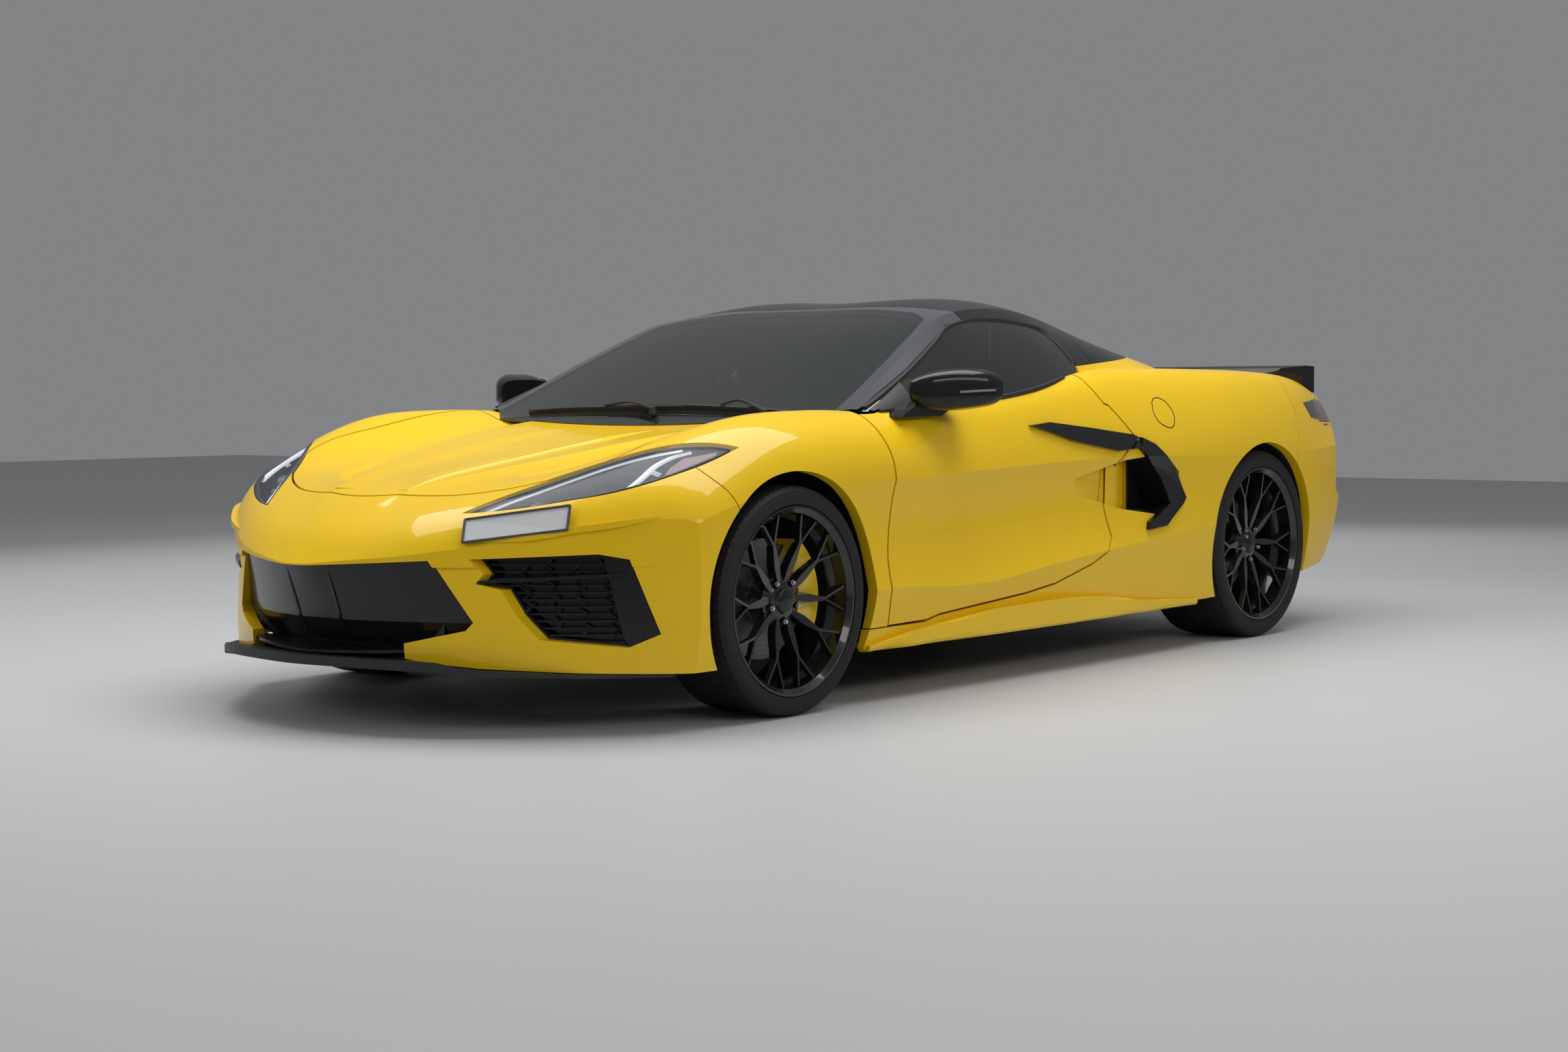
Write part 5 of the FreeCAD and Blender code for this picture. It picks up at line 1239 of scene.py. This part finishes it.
# %% Vents and console
vents = bmesh.new()
for y in (-0.62, -0.20, 0.16, 0.62):
    centre = drop("dashboard", Vector((-0.2, y, 0.705)), FORWARD, 0.004)
    bmesh.ops.create_cone(vents, segments=40, radius1=0.041, radius2=0.036, depth=0.012,
                          matrix=turned(centre, 90, "Y"))
    for height in (-0.018, 0.0, 0.018):
        reach = math.sqrt(0.036 ** 2 - height ** 2)
        bar(vents, [centre + Vector((0, -reach, height)), centre + Vector((0, reach, height))], 0.006, 0.003)
ready(vents, "air_vents", satin_black)
console = [at(740, -82, 700), at(740, 82, 700), at(1270, 82, 700), at(1270, -82, 700)]
skin("console_top", "dashboard", gloss_black, console, DOWN, (12, 40), 0.002, 0.004)
half_key = Vector((0, 0.012, 0))
spots = [drop("dashboard", at(station, y, 800), DOWN, 0.005) for station in (830, 862, 894, 926) for y in (-36, 0, 36)]
rails("console_keys", satin_black, [[s - half_key, s + half_key] for s in spots], 0.020, 0.005, soft=False)
print("cabin trimmed")

# %% [markdown]
# ## Inner mirror
# A rounded mirror hangs from the windscreen's top on a short stalk. A bevelled box would do, but a cube whose
# corners are drawn in by a rule has the soft outline of the real one.

# %% Inner mirror
head = drop("windscreen", at(1075, 0, 0), (0, 0, 1))


def glance_point(u, v, w):
    """A point of the inner mirror, front to back (u), side to side (v) and up (w)."""
    return head + Vector((0.014 * u * (1 - 0.4 * w ** 4) - 0.035, 0.118 * v * (1 - 0.06 * w * w),
                          0.030 * w * (1 - 0.25 * v ** 4) - 0.052))


glance = moulded(9, glance_point)
stalk = [head + Vector((x, 0, z)) for x, z in ((0, -0.004), (-0.014, -0.018), (-0.028, -0.034))]
bar(glance, smooth_run(stalk, 4), 0.026, 0.012, FORWARD)
ready(glance, "inner_mirror", satin_black)
print("inner mirror hung")

# %% [markdown]
# ## Door cards
# Inside each door is a padded black card with a leather arm rest, a pull handle and a round speaker. They are
# dropped onto the door's inner skin from the cabin's side, so they follow its hollows, and they swing with it.

# %% Door cards
INSIDE = 500
CARD = ((470, 800), (1520, 790), (1400, 330), (480, 330))
ARM_REST = ((640, 612), (800, 622), (960, 630), (1120, 630), (1260, 618))
PULL = ((700, 700), (760, 712), (840, 714), (900, 704))
for side, sign in SIDES:
    door, out = f"door_{side}", (0, sign, 0)
    card, rest, pull = ([at(s, INSIDE * sign, z) for s, z in line] for line in (CARD, ARM_REST, PULL))
    skin(f"door_card_{side}", door, cabin_black, card, out, (34, 14), 0.004, 0.006, door)
    rest = draped(door, smooth_run(rest, 4), out, 0.024)
    rails(f"arm_rest_{side}", leather, [rest], 0.040, 0.034, tips=0.55, body=door)
    pull = draped(door, smooth_run(pull, 4), out, 0.018)
    rails(f"door_pull_{side}", bright_metal, [pull], 0.012, 0.018, tips=0.5, body=door)
    speaker = bmesh.new()
    turn = turned(drop(door, at(700, INSIDE * sign, 430), out, 0.012), 90, "X")
    for radius in (0.075, 0.060, 0.045, 0.030, 0.015):
        bmesh.ops.create_cone(speaker, segments=48, radius1=radius, radius2=radius - 0.003, depth=0.004, matrix=turn)
    ready(speaker, f"speaker_{side}", satin_black, door)
print("door cards laid")

# %% [markdown]
# ## Tail
# Between the tail lamps runs a dark slatted grille, and the bumper's lower half is a black valance. Both are thin
# skins on the painted bumper, because a second finish on its faces would have a ragged edge, and four slats lie
# across the grille.

# %% Tail grille and valance
BEHIND = 4000


def behind(points, sign=1):
    """Points drawn from behind, by their half widths and heights."""
    return [at(BEHIND, y * sign, z) for y, z in points]


skin("tail_grille", "rear_bumper", satin_black, upright(BEHIND, -425, 425, 846, 792), FORWARD, (60, 6), 0.0015, 0.003)
slats = [draped("rear_bumper", behind([(y, z) for y in range(-420, 421, 20)]), FORWARD, 0.004)
         for z in (798, 811, 824, 837)]
rails("tail_slats", gloss_black, slats, 0.007, 0.004, tips=0.5)
skin("rear_valance", "rear_bumper", gloss_black, upright(BEHIND, -500, 500, 446, 336), FORWARD, (60, 12), 0.0015,
     0.003)
print("tail grille and valance laid")

# %% [markdown]
# ## Tail lamps and exhaust
# At each side there are a slim red reflector, a dark bezel round the lamp, a dark corner where the lamp turns into
# the flank, three light bars, and a black disc inside the exhaust tip that is painted shade for the pipe's depth.
# From behind one can't draw on the flank, so the bezel's line leaves out the stretch past the bumper's corner, and a
# skin drawn from the side takes over.

# %% Tail sides
reflector_red = Finish("reflector_red", (0.22, 0.010, 0.010), 0.18, Coat_Weight=1.0)
REFLECTOR = ((640, 470), (710, 474), (780, 480))
TAIL_RING = ((434, 780), (446, 857), (600, 868), (900, 878), (950, 872), (950, 794), (840, 771), (600, 765), (434, 780))
TAIL_CORNER = ((3118, 862), (3258, 872), (3258, 796), (3160, 806))
CORNER_STATION = 3262
tip_low, tip_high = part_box("exhaust_tips")
for side, sign in SIDES:
    reflector = draped("rear_bumper", smooth_run(behind(REFLECTOR, sign), 5), FORWARD, 0.001)
    rails(f"reflector_{side}", reflector_red, [reflector], 0.006, 0.017, tips=0.6)
    ring = draped("rear_bumper", smooth_run(behind(TAIL_RING, sign), 5), FORWARD, 0.0005)
    start = max(range(len(ring)), key=lambda i: ring[i].x)
    ring = [p for p in ring[start:] + ring[1:start] if p.x < at(CORNER_STATION, 0, 0).x]
    rails(f"tail_bezel_{side}", gloss_black, [ring], 0.005, 0.006, FORWARD)
    skin(f"tail_corner_{side}", "rear_bumper", lamp_dark, beside(TAIL_CORNER, sign), (0, -sign, 0), (16, 10), 0.001,
         0.002)
    lines = [behind([(y, z + (y - 470) * 0.03) for y in range(470, 900, 20)], sign) for z in (800, 822, 844)]
    bars = [draped("tail_lamps", line, FORWARD, 0.0012) for line in lines]
    rails(f"tail_bars_{side}", lamp_red, bars, 0.004, 0.007, tips=0.5)
    # A black disc inside each exhaust tip: painted shade for the depth of the pipe.
    bore_shade = bmesh.new()
    centre = Vector((tip_low.x + 0.06, 0.560 * sign, (tip_low.z + tip_high.z) / 2))
    bmesh.ops.create_circle(bore_shade, cap_ends=True, segments=40, radius=0.036, matrix=turned(centre, 90, "Y"))
    bmesh.ops.solidify(bore_shade, geom=bore_shade.faces, thickness=0.003)
    ready(bore_shade, f"tip_shade_disc_{side}", satin_black)
print("tail lamps and exhaust trimmed")

# %% [markdown]
# ## Rear plate and deck vents
# A blank plate stands over the valance, and the deck lid has rows of dark vents that lift with it. They could be
# cut through the lid, but thin dark bars that lie in its surface look the same from outside; their black is painted
# shade for the open slots.

# %% Rear plate and vents
plate("rear_plate", [drop("rear_bumper", corner, FORWARD) for corner in upright(BEHIND, -260, 260, 640, 528)],
      REARWARD)
# The vents' black bars are painted shade for slots in the lid.
slots = [draped("deck_lid", overhead([(station, y) for y in range(-300, 301, 30)]), DOWN, 0.0005)
         for station in range(2700, 3201, 62)]
rails("deck_vents", satin_black, slots, 0.022, 0.004, tips=0.5, body="deck_lid")
print("tail trimmed")

# %% [markdown]
# ## Creases in the hood
# Two creases run from the nose to the windscreen and spread apart. Relief in the paint would not bend the
# highlight far enough. Each is a low wave in a thin sheet on the hood: it rises sharply on its outer side and falls
# off gently towards the middle, so the light breaks along a clean line, and its edges sink into the panel.

# %% Hood creases
CREASE = ((-742, 150), (-600, 156), (-310, 183), (-60, 208), (180, 228), (290, 236))
WAVE = ((0, -1.2), (0.09, 5.6), (0.2, 5.2), (1, -1.2))
SUNK = -1.2


def crease_point(run, inwards, sign):
    """A point of a crease, by its shares rearwards and towards the middle."""
    station = -735 + 1010 * run
    fade = min(1.0, 3.5 * (1 - run), 6 * run + 0.35)
    lift = SUNK + (between(inwards, WAVE) - SUNK) * fade
    half = between(station, CREASE) + 8 - 96 * inwards
    return drop("hood", at(station, half * sign, OVERHEAD), DOWN, lift / 1000)


for side, sign in SIDES:
    grid(f"hood_crease_{side}", paint, (70, 22), lambda run, inwards: crease_point(run, inwards, sign), 0.0012, "hood")
print("hood creased")
